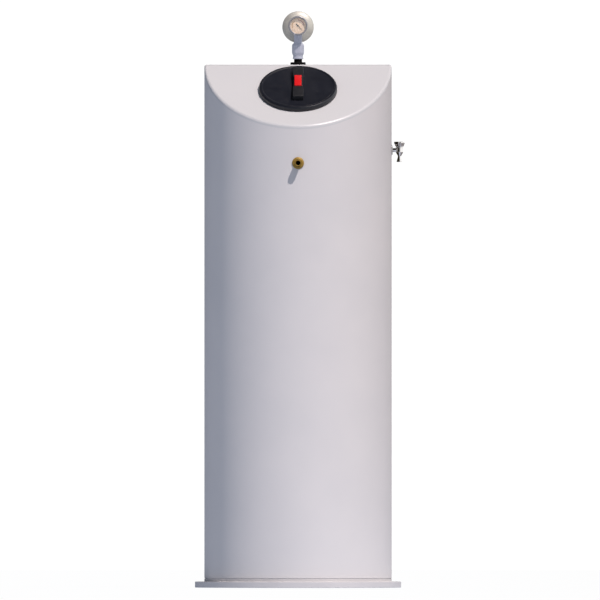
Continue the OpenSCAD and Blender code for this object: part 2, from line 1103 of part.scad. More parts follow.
module gauge_needle() {
  color("black")
    at_dial(dial_back) {
      translate([0, 0, -6])
        cylinder(r = arbor_r, h = 9.5);
      rotate([0, 0, -needle_turn])
        translate([0, 0, dial_t + 1])
          linear_extrude(height = 0.8)
            union() {
              polygon([[0, 0.9], [0, -0.9], [needle_len, -0.3], [needle_len, 0.3]]);
              polygon([[0, 0.9], [0, -0.9], [-9, -1.5], [-9, 1.5]]);
              circle(r = 2.2);
            }
    }
}

module gauge_glass() {
  color([0.8, 0.9, 0.9, 0.4])
    at_dial(case_front + 3)
      cylinder(r = case_r - 0.5, h = glass_t);
}

module gauge_bezel() {
  color("dimgray")
    at_dial(case_front)
      rotate_extrude()
        polygon([
          [case_r + fit, -7], [bezel_d / 2, -7], [bezel_d / 2, -1], [bezel_d / 2 - 1, 0],
          [case_r - 4, 0], [case_r - 4.6, -1.5 + fit], [case_r + fit, -1.5 + fit]
        ]);
}

// One half of the lens-shaped dome, hollow, open at z = 0 and bulging to +z
module dome_shell(depth) {
  outer = (dome_r * dome_r + depth * depth) / (2 * depth);
  difference() {
    intersection() {
      translate([0, 0, depth - outer])
        sphere(r = outer);
      cylinder(r = dome_r, h = depth + 1);
    }
    intersection() {
      translate([0, 0, depth - outer])
        sphere(r = outer - dome_wall);
      translate([0, 0, -1])
        cylinder(r = dome_r, h = depth + 1);
    }
  }
}

module dome_front_shell() {
  color("lightgray")
    translate([0, dome_seam - fit, dome_z])
      difference() {
        union() {
          rotate([90, 0, 0])
            dome_shell(dome_front);
          translate([0, fit - dome_front + 1, 0])
            rotate([90, 0, 0])
              cylinder(r = 5, h = 14);
        }
        rotate([90, 0, 0])
          cylinder(r = 3, h = 60);
      }
}

module dome_rear_shell() {
  color("lightgray")
    translate([0, dome_seam + 1 + fit, dome_z])
      rotate([-90, 0, 0]) {
        difference() {
          dome_shell(dome_rear);
          cylinder(r = 2, h = 60);
        }
        translate([0, 0, dome_rear - 0.5])
          tube(4, 1.5, 0, 9);
      }
}

module dome_diaphragm() {
  color([0.1, 0.1, 0.1])
    translate([0, dome_seam, dome_z])
      rotate([-90, 0, 0])
        cylinder(r = dome_r - fit, h = 1);
}

// ---- Relief valve ----

module at_relief() {
  translate([relief_x, 0, relief_z])
    children();
}

module relief_pipe() {
  color("silver")
    at_port(0, relief_z)
      tube(relief_pipe_r, relief_bore, vessel_r - vessel_t - 3, relief_x - chamber_r - 1.2);
}

module relief_rosette() {
  color("silver")
    at_port(0, relief_z)
      difference() {
        translate([0, 0, body_r + fit])
          cylinder(r1 = 16.8, r2 = 14.5, h = 3);
        cylinder(r = relief_pipe_r + gap, h = far);
      }
}

module relief_body() {
  color("silver")
    at_relief()
      difference() {
        union() {
          rotate_extrude()
            polygon([
              [0, relief_low - tail_len], [tail_low_r, relief_low - tail_len],
              [tail_low_r, relief_low - tail_len + 3], [5.3, relief_low],
              [relief_body_r, -7], [relief_body_r, relief_high], [0, relief_high]
            ]);
          translate([4 - relief_out, 0, 0])
            rotate([0, 90, 0])
              cylinder(r = relief_boss_r, h = relief_out - 4);
        }
        translate([0, 0, seat_z])
          cylinder(r = chamber_r, h = far);
        translate([0, 0, relief_low - tail_len - 1])
          cylinder(r = tail_bore, h = tail_len + far / 10);
        translate([-relief_out, 0, 0])
          rotate([0, 90, 0])
            cylinder(r = relief_pipe_r + fit, h = relief_out - chamber_r - 1);
        rotate([0, -90, 0])
          cylinder(r = relief_bore, h = relief_out);
      }
}

module relief_bonnet() {
  color("silver")
    at_relief()
      difference() {
        union() {
          translate([0, 0, relief_high])
            cylinder(r = relief_body_r, h = bonnet_t);
          translate([0, 0, relief_high - 3])
            cylinder(r = chamber_r - fit, h = 4);
        }
        translate([0, 0, -5])
          cylinder(r = relief_stem_r + fit, h = 40);
      }
}

module relief_stem() {
  color("goldenrod")
    at_relief() {
      translate([0, 0, seat_z + 0.1])
        cylinder(r = disc_r, h = disc_t);
      translate([0, 0, seat_z])
        cylinder(r = relief_stem_r, h = stem_len);
    }
}

// Compression spring that holds the disc on its seat
module relief_spring() {
  low = seat_z + 0.1 + disc_t + spring_wire + 0.1;
  high = relief_high - 3 - spring_wire - 0.1;
  sides = 6;
  rings = 10 * spring_turns;
  points = [
    for (i = [0 : rings], j = [0 : sides - 1])
      let (
        a = 360 * spring_turns * i / rings,
        b = 360 * j / sides,
        r = spring_r + spring_wire * cos(b)
      )
      [r * cos(a), r * sin(a), low + (high - low) * i / rings + spring_wire * sin(b)]
  ];
  walls = [
    for (i = [0 : rings - 1], j = [0 : sides - 1])
      let (k = (j + 1) % sides)
      [i * sides + j, (i + 1) * sides + j, (i + 1) * sides + k, i * sides + k]
  ];
  first = [for (j = [0 : sides - 1]) j];
  last = [for (j = [0 : sides - 1]) rings * sides + sides - 1 - j];
  color("silver")
    at_relief()
      polyhedron(points = points, faces = concat(walls, [first, last]));
}

module relief_knob() {
  recess_top = seat_z + stem_len + relief_lift + 2.4;
  color("silver")
    at_relief()
      difference() {
        union() {
          translate([0, 0, knob_low])
            cylinder(r1 = 13.9, r2 = 17.5, h = knob_high - 4 - knob_low);
          translate([0, 0, knob_high - 4])
            cylinder(r = 17.5, h = 4);
        }
        translate([0, 0, knob_low - 1])
          cylinder(r = relief_stem_r + 2.5, h = recess_top - knob_low + 1);
        ring_of(8, 20.5)
          translate([0, 0, knob_low - 1])
            cylinder(r = 4.5, h = 40);
      }
}

base_plate();
outer_jacket();
roof_cover();
side_insulation();
top_insulation();
vessel_shell();
vessel_top_head();
vessel_bottom_head();
standing_ring();
base_screws();
heater_neck();
flange_ring();
flange_gasket();
heater_plate();
flange_bolts();
flange_nuts();
heating_elements();
anode_rod();
thermostat_pocket();
thermostat();
thermostat_knob();
terminal_block();
cap_posts();
cap_screws();
heater_cap();
cap_seal();
switch_spine();
switch_housing();
rocker_button();
gland_body();
gland_nut();
inlet_socket();
inlet_stub();
inlet_rosette();
inlet_diffuser();
outlet_socket();
outlet_stub();
outlet_rosette();
riser_pipe();
riser_grommet();
union_tail();
union_nut();
gauge_manifold();
gauge_socket();
gauge_case();
bourdon_tube();
gauge_dial();
gauge_needle();
gauge_glass();
gauge_bezel();
dome_front_shell();
dome_rear_shell();
dome_diaphragm();
relief_pipe();
relief_rosette();
relief_body();
relief_bonnet();
relief_stem();
relief_spring();
relief_knob();
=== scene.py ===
# %% [markdown]
# # A storage water heater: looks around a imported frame
# The machine is an insulated steel tank with a sloped roof, a black cap over its electric heater,
# a pressure gauge on a riser, a brass outlet and a small chromed relief valve. The CAD model gives
# every place and size. This lesson gives each visible piece rounded edges, fine detail and a finish.

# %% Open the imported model
import json
import math

import bmesh
import bpy
from mathutils import Matrix, Vector


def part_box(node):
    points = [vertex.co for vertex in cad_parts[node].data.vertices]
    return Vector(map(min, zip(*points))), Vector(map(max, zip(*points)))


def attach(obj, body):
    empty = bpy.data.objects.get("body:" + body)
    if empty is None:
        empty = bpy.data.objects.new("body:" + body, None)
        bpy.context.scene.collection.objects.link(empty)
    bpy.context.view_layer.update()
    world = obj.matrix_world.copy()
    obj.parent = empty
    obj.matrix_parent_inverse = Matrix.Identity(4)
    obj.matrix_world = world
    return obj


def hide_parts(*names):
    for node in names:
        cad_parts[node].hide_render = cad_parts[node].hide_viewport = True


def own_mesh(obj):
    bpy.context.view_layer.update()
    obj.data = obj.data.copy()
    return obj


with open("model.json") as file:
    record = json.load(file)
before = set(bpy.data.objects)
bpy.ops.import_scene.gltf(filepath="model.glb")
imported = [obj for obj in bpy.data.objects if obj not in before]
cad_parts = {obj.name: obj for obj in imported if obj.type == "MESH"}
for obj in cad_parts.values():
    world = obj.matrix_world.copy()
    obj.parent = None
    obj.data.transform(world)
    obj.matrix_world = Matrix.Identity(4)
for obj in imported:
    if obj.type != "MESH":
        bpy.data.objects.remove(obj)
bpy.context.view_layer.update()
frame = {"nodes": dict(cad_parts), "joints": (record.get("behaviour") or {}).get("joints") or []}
print("CAD nodes:", len(frame["nodes"]))

# %% [markdown]
# ## Sizes come from the frame
# Lengths below are in millimetres, because that is how such parts are drawn; Blender works in
# metres, so each outline is multiplied by MM once. `Span` reads a CAD node's box, and the joints
# give the axes of what turns.

# %% Spans and axes
MM = 0.001


class Span:
    """The box of a CAD node, in millimetres."""

    def __init__(self, node):
        low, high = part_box(node)
        self.low = low / MM
        self.high = high / MM
        self.mid = (self.low + self.high) / 2
        self.size = self.high - self.low


joints = {joint["name"]: joint for joint in frame["joints"]}
jacket = Span("outer_jacket")
roof = Span("roof_cover")
body_r = jacket.high.x
ridge = roof.high.z
slope_up = Vector(joints["thermostat_set"]["axis"])
slope = math.atan2(-slope_up.y, slope_up.z)
seal_t = 2
cap_centre = Span("cap_seal").mid - slope_up * seal_t / 2
print(f"jacket radius {body_r:.1f}, ridge {ridge:.1f}, roof slope {math.degrees(slope):.1f} degrees")

# %% [markdown]
# ## Places
# A piece is drawn round its own z axis and then laid in place by one matrix, so its object stays
# at the origin and the place is in the mesh. Four kinds of place are enough for this machine.


# %% Matrices for the four kinds of place
def upright(x, y, z):
    return Matrix.Translation(Vector((x, y, z)) * MM)


def on_roof_slope():
    return Matrix.Translation(cap_centre * MM) @ Matrix.Rotation(slope, 4, "X")


def facing(x, y, z, degrees):
    """z points level, towards this compass angle: 0 is right, -90 is the front, 90 the back."""
    turn = Matrix.Rotation(math.radians(degrees), 4, "Z") @ Matrix.Rotation(math.radians(90), 4, "Y")
    return upright(x, y, z) @ turn


def at_dial(y):
    """z points to the front and y stays upright, as on a dial seen from the front."""
    return upright(0, y, dial_z) @ Matrix.Rotation(math.radians(90), 4, "X")


dial_z = joints["needle_sweep"]["pos_m"][2] / MM
print(f"the dial's centre is {dial_z - ridge:.1f} mm above the ridge")

# %% [markdown]
# ## Rounded outlines
# Almost nothing made in a mould, a press or a lathe has a perfectly sharp corner. An outline is a
# list of corners, each with its own radius, and `rounded` turns every corner into a short arc that
# is tangent to both sides. A bevel modifier could do the same later, but rounding the outline first
# gives each corner its own size and keeps the mesh tidy.


# %% Outline with round corners
def rounded(corners, steps=4):
    """Points of a closed outline. Each corner is (x, y) or (x, y, radius)."""
    outline = []
    for i, corner in enumerate(corners):
        here = Vector(corner[:2])
        if len(corner) == 2:
            outline.append(here)
            continue
        before = (Vector(corners[i - 1][:2]) - here).normalized()
        after = (Vector(corners[(i + 1) % len(corners)][:2]) - here).normalized()
        half = before.angle(after) / 2
        reach = corner[2] / math.tan(half)
        centre = here + (before + after).normalized() * corner[2] / math.sin(half)
        start = here + before * reach - centre
        end = here + after * reach - centre
        for step in range(steps + 1):
            outline.append(centre + start.slerp(end, step / steps).normalized() * corner[2])
    return outline


print("a rounded square has", len(rounded([(0, 0, 1), (9, 0, 1), (9, 9, 1), (0, 9, 1)])), "points")

# %% [markdown]
# ## Turning and pressing
# Lathe work is the spin operator: a cross-section goes once round the z axis. Its doubles are
# merged, which closes the poles, and only then are the normals worked out, so they point outwards.
# Straight work is an outline made a face and extruded. Both give plain meshes that need no
# modifier, and both take any matrix as their place.


# %% Spin and extrude
def tidy(bm):
    bmesh.ops.remove_doubles(bm, verts=bm.verts, dist=0.001 * MM)
    bmesh.ops.recalc_face_normals(bm, faces=bm.faces)
    return bm


def turned(corners, around=96, steps=4):
    """Spins a closed cross-section of (radius, height) corners once round z."""
    bm = bmesh.new()
    ring = [bm.verts.new((r * MM, 0, h * MM)) for r, h in rounded(corners, steps)]
    edges = [bm.edges.new((a, b)) for a, b in zip(ring, ring[1:] + ring[:1])]
    bmesh.ops.spin(
        bm, geom=ring + edges, cent=(0, 0, 0), axis=(0, 0, 1), dvec=(0, 0, 0),
        angle=math.tau, steps=around, use_merge=True,
    )
    return tidy(bm)


def pressed(corners, low, high, steps=4):
    """Extrudes a closed outline of (x, y) corners along z, from low to high."""
    bm = bmesh.new()
    face = bm.faces.new([bm.verts.new((x * MM, y * MM, low * MM)) for x, y in rounded(corners, steps)])
    grown = bmesh.ops.extrude_face_region(bm, geom=[face])["geom"]
    moved = [v for v in grown if isinstance(v, bmesh.types.BMVert)]
    bmesh.ops.translate(bm, verts=moved, vec=(0, 0, (high - low) * MM))
    return tidy(bm)


def soften(bm, width, chosen=lambda edge: True, segments=3, angle=30):
    """Bevels the edges that turn more than this angle and that chosen accepts."""
    sharp = [
        e for e in bm.edges
        if e.is_manifold and e.calc_face_angle() > math.radians(angle) and chosen(e)
    ]
    bmesh.ops.bevel(
        bm, geom=sharp, offset=width * MM, offset_type="OFFSET", segments=segments,
        profile=0.5, affect="EDGES", clamp_overlap=True, material=-1,
    )
    return bm


def level(height):
    """Chooses the edges that lie flat at this height."""
    return lambda edge: all(abs(v.co.z / MM - height) < 0.01 for v in edge.verts)


print("helpers ready: turned, pressed, soften")

# %% [markdown]
# ## From mesh to piece
# `shape` moves a bmesh to its place and makes it an object that shades smoothly, with a crease
# wherever two faces meet at more than 35 degrees. `cut` and `joined` are booleans, for bores and
# for bosses that grow out of a body; their result is written into the mesh at once.


# %% Objects, bores and bosses
CREASE = math.radians(35)


def smooth(mesh):
    mesh.polygons.foreach_set("use_smooth", [True] * len(mesh.polygons))
    mesh.set_sharp_from_angle(angle=CREASE)


def shape(bm, name, place=Matrix.Identity(4)):
    mesh = bpy.data.meshes.new(name)
    bm.to_mesh(mesh)
    bm.free()
    mesh.transform(place)
    smooth(mesh)
    piece = bpy.data.objects.new(name, mesh)
    bpy.context.scene.collection.objects.link(piece)
    return piece


def settle(piece):
    """Writes a piece's modifiers into its mesh."""
    graph = bpy.context.evaluated_depsgraph_get()
    mesh = bpy.data.meshes.new_from_object(piece.evaluated_get(graph))
    piece.modifiers.clear()
    piece.data = mesh
    smooth(mesh)
    return piece


def boolean(piece, operation, tools):
    for tool in tools:
        modifier = piece.modifiers.new("Boolean", "BOOLEAN")
        modifier.operation = operation
        modifier.solver = "EXACT"
        modifier.object = tool
    settle(piece)
    for tool in tools:
        bpy.data.objects.remove(tool)
    return piece


def cut(piece, *tools):
    return boolean(piece, "DIFFERENCE", tools)


def joined(piece, *tools):
    return boolean(piece, "UNION", tools)


def rod(radius, low, high, place, around=64):
    """A plain round bar, used as a drill."""
    return shape(turned([(0, low), (radius, low), (radius, high), (0, high)], around), "drill", place)


print("helpers ready: shape, cut, joined, rod")

# %% [markdown]
# # Finishes
# Every finish is a small node tree on the Principled shader. Object coordinates are used
# throughout: a piece's object sits at the origin, so they are plain metres on the machine, and the
# grain keeps its real size on every piece. A finish has two tints that a soft noise mixes, a
# roughness that a second noise varies, and a fine relief for the surface's own grain. What is the
# same all over, such as metalness or a clear coat, is set on the shader's own sockets.


# %% Building blocks of a finish
def noise(tree, scale, detail=3, stretch=(1, 1, 1)):
    """Noise on object coordinates; a larger stretch on an axis makes the grain finer along it."""
    where = tree.nodes.new("ShaderNodeTexCoord")
    spread = tree.nodes.new("ShaderNodeMapping")
    spread.inputs["Scale"].default_value = stretch
    grain = tree.nodes.new("ShaderNodeTexNoise")
    grain.inputs["Scale"].default_value = scale
    grain.inputs["Detail"].default_value = detail
    tree.links.new(where.outputs["Object"], spread.inputs["Vector"])
    tree.links.new(spread.outputs["Vector"], grain.inputs["Vector"])
    return grain.outputs["Fac"]


def cells(tree, scale):
    """Distance to the nearest cell centre, for foam and cast grain."""
    where = tree.nodes.new("ShaderNodeTexCoord")
    pattern = tree.nodes.new("ShaderNodeTexVoronoi")
    pattern.inputs["Scale"].default_value = scale
    tree.links.new(where.outputs["Object"], pattern.inputs["Vector"])
    return pattern.outputs["Distance"]


def spread_between(tree, value, low, high):
    """Maps the middle of a noise onto low to high."""
    ramp = tree.nodes.new("ShaderNodeMapRange")
    ramp.inputs["From Min"].default_value = 0.3
    ramp.inputs["From Max"].default_value = 0.7
    ramp.inputs["To Min"].default_value = low
    ramp.inputs["To Max"].default_value = high
    tree.links.new(value, ramp.inputs["Value"])
    return ramp.outputs["Result"]


def two_tints(tree, value, first, second):
    ramp = tree.nodes.new("ShaderNodeValToRGB")
    ramp.color_ramp.elements[0].position = 0.3
    ramp.color_ramp.elements[0].color = (*first, 1)
    ramp.color_ramp.elements[1].position = 0.7
    ramp.color_ramp.elements[1].color = (*second, 1)
    tree.links.new(value, ramp.inputs["Fac"])
    return ramp.outputs["Color"]


def press_relief(tree, height, depth_mm, strength=1.0, under=None):
    bump = tree.nodes.new("ShaderNodeBump")
    bump.inputs["Distance"].default_value = depth_mm * MM
    bump.inputs["Strength"].default_value = strength
    tree.links.new(height, bump.inputs["Height"])
    if under:
        tree.links.new(under, bump.inputs["Normal"])
    return bump.outputs["Normal"]


print("finish helpers ready")

# %% [markdown]
# One function makes a finish from plain words: its two tints, how rough it is, how much metal it
# is, and its grain. The grain is `patch` for slow colour change and `fine` for the relief, each a
# noise scale in waves per metre; `stretch` draws the fine grain out, as brushing or drawing does.


# %% Finish from plain words
finishes = {}


def finish(slot, tints, rough, metal=0.0, patch=12, fine=900, depth=0.05, stretch=(1, 1, 1),
           foam=0, **sockets):
    material = bpy.data.materials.new(slot)
    material.use_nodes = True
    tree = material.node_tree
    shader = tree.nodes["Principled BSDF"]
    tree.links.new(two_tints(tree, noise(tree, patch), *tints), shader.inputs["Base Color"])
    rough_noise = noise(tree, patch * 4, 4, stretch)
    tree.links.new(spread_between(tree, rough_noise, *rough), shader.inputs["Roughness"])
    relief = press_relief(tree, noise(tree, fine, 2, stretch), depth)
    if foam:
        relief = press_relief(tree, cells(tree, foam), 4 * depth, 1.0, relief)
    tree.links.new(relief, shader.inputs["Normal"])
    shader.inputs["Metallic"].default_value = metal
    for socket, value in sockets.items():
        shader.inputs[socket.replace("_", " ")].default_value = value
    finishes[slot] = material
    return material


# %% [markdown]
# ## Paint and mouldings
# The jacket and roof are powder coated: a near-white, half-matt skin with the faint ripple called
# orange peel. Sheet steel is also rolled round into a jacket, which leaves a very slight banding
# round it. The base is a moulding of the same white.

# %% White finishes
finish("jacket_paint", ((0.60, 0.602, 0.612), (0.63, 0.628, 0.634)), (0.5, 0.6), patch=5,
       fine=340, depth=0.07, stretch=(1, 1, 2.2), Specular_IOR_Level=0.06)
# The roof's tints are a little darker and bluer than the jacket's, though both are one paint: painted shade
# that offsets the stronger sun on the slope.
finish("roof_paint", ((0.535, 0.55, 0.565), (0.548, 0.561, 0.574)), (0.34, 0.36), patch=5,
       fine=340, depth=0.05, Specular_IOR_Level=0.5)
finish("base_moulding", ((0.53, 0.53, 0.54), (0.57, 0.567, 0.572)), (0.45, 0.58), patch=9,
       fine=700, depth=0.10, Specular_IOR_Level=0.3)
print("white finishes:", sorted(finishes))

# %% [markdown]
# ## Black plastics and rubber
# The cap and spine are moulded in grained black plastic, the cap with a blue cast and the spine
# more neutral. Spark erosion gives such moulds a fine even grain, so the relief is small and tight.
# Rubber is blacker and duller. The rocker is a clear red that lets its lamp glow a little.

# %% Dark finishes and the red rocker
finish("cap_plastic", ((0.0075, 0.0092, 0.0148), (0.010, 0.012, 0.0185)), (0.3, 0.42), fine=1800,
       depth=0.03, Specular_IOR_Level=0.4)
finish("spine_plastic", ((0.0065, 0.0078, 0.0105), (0.0095, 0.0108, 0.014)), (0.45, 0.6), fine=1800,
       depth=0.04, Specular_IOR_Level=0.3)
finish("housing_plastic", ((0.007, 0.0072, 0.008), (0.011, 0.011, 0.012)), (0.35, 0.5), fine=1500,
       depth=0.03, Specular_IOR_Level=0.35)
finish("knob_plastic", ((0.03, 0.03, 0.032), (0.045, 0.045, 0.048)), (0.4, 0.55), fine=1500,
       depth=0.04)
finish("gland_plastic", ((0.012, 0.012, 0.013), (0.02, 0.02, 0.021)), (0.45, 0.6), fine=1500,
       depth=0.04)
finish("seal_rubber", ((0.008, 0.008, 0.009), (0.014, 0.014, 0.015)), (0.6, 0.8), fine=1200,
       depth=0.06)
finish("grommet_rubber", ((0.0025, 0.0025, 0.003), (0.005, 0.005, 0.0055)), (0.65, 0.85), fine=1200,
       depth=0.05, Specular_IOR_Level=0.08)
finish("rocker_red", ((0.49, 0.009, 0.011), (0.55, 0.012, 0.014)), (0.28, 0.4), patch=60, fine=1500,
       depth=0.02, Emission_Color=(1, 0.02, 0.03, 1), Emission_Strength=0.06,
       Specular_IOR_Level=0.25)
print("finishes so far:", len(finishes))

# %% [markdown]
# ## Metals
# Brass, chrome, zinc and the vessel's own steel differ in tint, in how evenly they were worked and
# in how they have dulled. Drawn tube carries fine lines along it, and a zinc coat shows a faint
# bloom, both of them noise stretched or patched to suit; the grain on turned parts is plain noise.

# %% Metal finishes
finish("port_brass", ((0.255, 0.158, 0.024), (0.34, 0.222, 0.04)), (0.5, 0.65), 0.25, patch=140,
       fine=1500, depth=0.03)
finish("relief_chrome", ((0.72, 0.70, 0.69), (0.86, 0.845, 0.84)), (0.10, 0.2), 1.0, patch=40,
       fine=900, depth=0.01)
finish("zinc_fastener", ((0.52, 0.53, 0.55), (0.68, 0.68, 0.68)), (0.3, 0.45), 1.0, patch=160,
       fine=1400, depth=0.03)
finish("spring_steel", ((0.45, 0.45, 0.46), (0.6, 0.6, 0.61)), (0.2, 0.35), 1.0, patch=200,
       fine=1500, depth=0.02)
finish("riser_steel", ((0.5, 0.5, 0.52), (0.62, 0.62, 0.63)), (0.25, 0.4), 1.0, patch=60,
       fine=1200, depth=0.03, stretch=(3, 3, 0.2))
finish("vessel_steel", ((0.16, 0.19, 0.24), (0.22, 0.25, 0.30)), (0.35, 0.55), 0.75, patch=14,
       fine=500, depth=0.15)
finish("plate_steel", ((0.42, 0.42, 0.43), (0.55, 0.55, 0.56)), (0.35, 0.5), 1.0, patch=40,
       fine=1000, depth=0.05)
finish("element_sheath", ((0.24, 0.22, 0.20), (0.36, 0.34, 0.32)), (0.3, 0.5), 1.0, patch=50,
       fine=900, depth=0.05, stretch=(1, 1, 0.3))
finish("anode_metal", ((0.46, 0.46, 0.44), (0.62, 0.62, 0.60)), (0.5, 0.7), 0.85, patch=30,
       fine=600, depth=0.15)
finish("pocket_copper", ((0.62, 0.27, 0.15), (0.80, 0.40, 0.25)), (0.28, 0.45), 1.0, patch=60,
       fine=1200, depth=0.03)
finish("tube_bronze", ((0.50, 0.32, 0.13), (0.64, 0.44, 0.20)), (0.3, 0.45), 1.0, patch=120,
       fine=1200, depth=0.02)
finish("case_steel", ((0.28, 0.285, 0.305), (0.37, 0.375, 0.395)), (0.28, 0.42), 0.35, patch=90,
       fine=1500, depth=0.02)
finish("dome_steel", ((0.48, 0.48, 0.437), (0.56, 0.56, 0.51)), (0.5, 0.62), 0.45, patch=35,
       fine=1100, depth=0.03)
# The union's grey glows faintly blue: painted light that lifts the shade the gauge casts on the stem; collar
# and nut glow the same.
finish("union_grey", ((0.25, 0.265, 0.315), (0.35, 0.365, 0.42)), (0.42, 0.58), 0.0, patch=190,
       fine=1300, depth=0.05, Emission_Color=(0.52, 0.57, 0.75, 1), Emission_Strength=0.2)
print("finishes so far:", len(finishes))

# %% [markdown]
# ## Foam, ceramic, gasket, dial and glass
# These are mostly inside, but someone who takes the machine apart sees them. Rigid foam has closed
# cells, so its relief is a cell pattern. The gauge glass is nearly clear: a low alpha leaves the
# dial in view and still gives a little gloss.

# %% The remaining finishes
finish("foam", ((0.74, 0.60, 0.33), (0.83, 0.70, 0.43)), (0.8, 0.95), patch=8, fine=300,
       depth=0.3, foam=260)
finish("gasket_rubber", ((0.16, 0.035, 0.03), (0.23, 0.055, 0.045)), (0.6, 0.8), patch=60,
       fine=900, depth=0.06)
finish("terminal_ceramic", ((0.70, 0.66, 0.57), (0.80, 0.77, 0.69)), (0.25, 0.4), patch=80,
       fine=900, depth=0.04)
# The dial card glows faintly warm: painted light that lifts the shadow the bezel casts on it.
finish("dial_face", ((0.70, 0.53, 0.385), (0.78, 0.61, 0.455)), (0.5, 0.65), patch=220, fine=1800,
       depth=0.01, Specular_IOR_Level=0.3, Emission_Color=(1, 0.8, 0.62, 1), Emission_Strength=0.16)
finish("needle_black", ((0.022, 0.024, 0.02), (0.035, 0.036, 0.03)), (0.45, 0.6), patch=200,
       fine=1500, depth=0.01)
finish("dial_glass", ((0.85, 0.9, 0.9), (0.9, 0.93, 0.93)), (0.03, 0.08), patch=60, fine=600,
       depth=0.002, Alpha=0.07)
print("finishes:", len(finishes))

# %% [markdown]
# ## Dress the CAD nodes
# Every CAD node already carries a material named after its slot, so its finish is found by name.
# Pieces that are rebuilt below hide their node; all the others show their CAD shape in this finish.

# %% Finish on every CAD node
for node in frame["nodes"].values():
    for held in node.material_slots:
        held.material = finishes[held.material.name]
print("dressed", len(frame["nodes"]), "CAD nodes")


# %% A new piece takes its finish, its body and its node's place
def present(piece, slot, nodes, body="tank"):
    """Gives a piece its finish and body, and hides the CAD nodes it stands for."""
    piece.data.materials.clear()
    piece.data.materials.append(finishes[slot])
    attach(piece, body)
    if nodes:
        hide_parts(*nodes)
    print(f"{piece.name}: {len(piece.data.polygons)} faces")
    return piece


# %% [markdown]
# # The base
# The base is a round moulded disc that carries the tank. A small cove leads up to a collar, and a
# ring inside locates it. One turned cross-section gives all of that, with a fine shadow gap under
# the jacket. The four counterbores for the screws are drilled from below.

# %% Base plate
base = Span("base_plate")
disc_t = 19
cove = 1.5
collar_top = 28.2
hem = 30.6
locating_t = 4
foot_reach = 15
screw_circle = Span("standing_ring").high.x - foot_reach
skirt_r = body_r - 1.3
base_outline = [
    (0, 0), (base.high.x, 0, 1.5), (base.high.x, disc_t, 1), (body_r, disc_t, cove),
    (body_r, collar_top), (skirt_r, collar_top, 0.5), (skirt_r, base.high.z),
    (skirt_r - locating_t, base.high.z), (skirt_r - locating_t, disc_t), (0, disc_t),
]
drills = []
for corner in range(4):
    turn = math.radians(45 + 90 * corner)
    spot = upright(screw_circle * math.cos(turn), screw_circle * math.sin(turn), 0)
    drills += [rod(4.3, -1, disc_t + 1, spot, 32), rod(9, -1, 8, spot, 32)]
base_disc = cut(shape(turned(base_outline, 192, 8), "base_disc"), *drills)
present(base_disc, "base_moulding", ["base_plate"])

# %% [markdown]
# # The jacket
# The jacket is 1 mm sheet rolled into a tube, its top edge cut to the roof's slope. An open cone of
# equal radii is bisected by the lowered roof plane, then given its thickness inwards, and the ports
# are drilled through.

# %% Jacket
AROUND = 192
rim_h = ridge - jacket.high.z
jacket_t = 1
ports = {
    "outlet": (facing(0, 0, Span("outlet_stub").mid.z, -90), Span("outlet_stub").size.x / 2),
    "inlet": (facing(0, 0, Span("inlet_stub").mid.z, 90), Span("inlet_stub").size.x / 2),
    "gland": (facing(0, 0, Span("gland_body").mid.z, 90), 8.3),
    "relief": (facing(0, 0, Span("relief_pipe").mid.z, 0), 5.3),
}


def open_tube(low, high):
    bm = bmesh.new()
    bmesh.ops.create_cone(
        bm, cap_ends=False, segments=AROUND, radius1=body_r * MM, radius2=body_r * MM,
        depth=(high - low) * MM, matrix=upright(0, 0, (low + high) / 2),
    )
    return bm


def thicken(piece, wall):
    """Grows a wall inwards from an outer skin."""
    modifier = piece.modifiers.new("Wall", "SOLIDIFY")
    modifier.thickness = wall * MM
    modifier.offset = -1
    modifier.use_even_offset = True
    return settle(piece)


skin = open_tube(hem, jacket.high.z)
bmesh.ops.bisect_plane(
    skin, geom=skin.verts[:] + skin.edges[:] + skin.faces[:],
    plane_co=(0, 0, jacket.high.z * MM), plane_no=slope_up, clear_outer=True,
)
sheet_jacket = thicken(shape(skin, "sheet_jacket"), jacket_t)
cut(sheet_jacket, *[rod(r + 2, body_r - 20, body_r + 20, place) for place, r in ports.values()])
present(sheet_jacket, "jacket_paint", ["outer_jacket"]).visible_glossy = False

# %% [markdown]
# # The roof cover
# The roof is the piece one sees first: flat behind the ridge, sloped in front, with a soft edge all
# round. `roof_block` makes a solid of that form: a capped cylinder whose front is bisected by the
# slope, whose open face is filled, and whose rim and ridge a bevel rounds. The cover is one such
# block with a smaller, lower one taken out of it. A wall grown by a modifier would spike at the
# ridge's two ends, where rim and ridge bevels meet; two blocks and a boolean stay clean there.


# %% Roof blocks
roof_t = 3
rim_round = 7
skirt_h = 22
roof_low = roof.low.z - 60


def roof_block(radius, top, edge_round=0):
    """A cylinder with the roof's slope in front; the ridge is at this height."""
    bm = bmesh.new()
    bmesh.ops.create_cone(
        bm, cap_ends=True, segments=AROUND, radius1=radius * MM, radius2=radius * MM,
        depth=(top - roof_low) * MM, matrix=upright(0, 0, (top + roof_low) / 2),
    )
    bmesh.ops.bisect_plane(
        bm, geom=bm.verts[:] + bm.edges[:] + bm.faces[:],
        plane_co=(0, 0, top * MM), plane_no=slope_up, clear_outer=True,
    )
    bmesh.ops.remove_doubles(bm, verts=bm.verts, dist=0.05 * MM)
    bmesh.ops.dissolve_degenerate(bm, edges=bm.edges, dist=0.05 * MM)
    bmesh.ops.contextual_create(bm, geom=[e for e in bm.edges if e.is_boundary])
    bmesh.ops.recalc_face_normals(bm, faces=bm.faces)
    if edge_round:
        above = (roof_low + 1) * MM
        soften(bm, edge_round, lambda e: min(v.co.z for v in e.verts) > above, 6, 20)
    return bm


print("roof block:", len(roof_block(body_r, ridge, rim_round).faces), "faces")

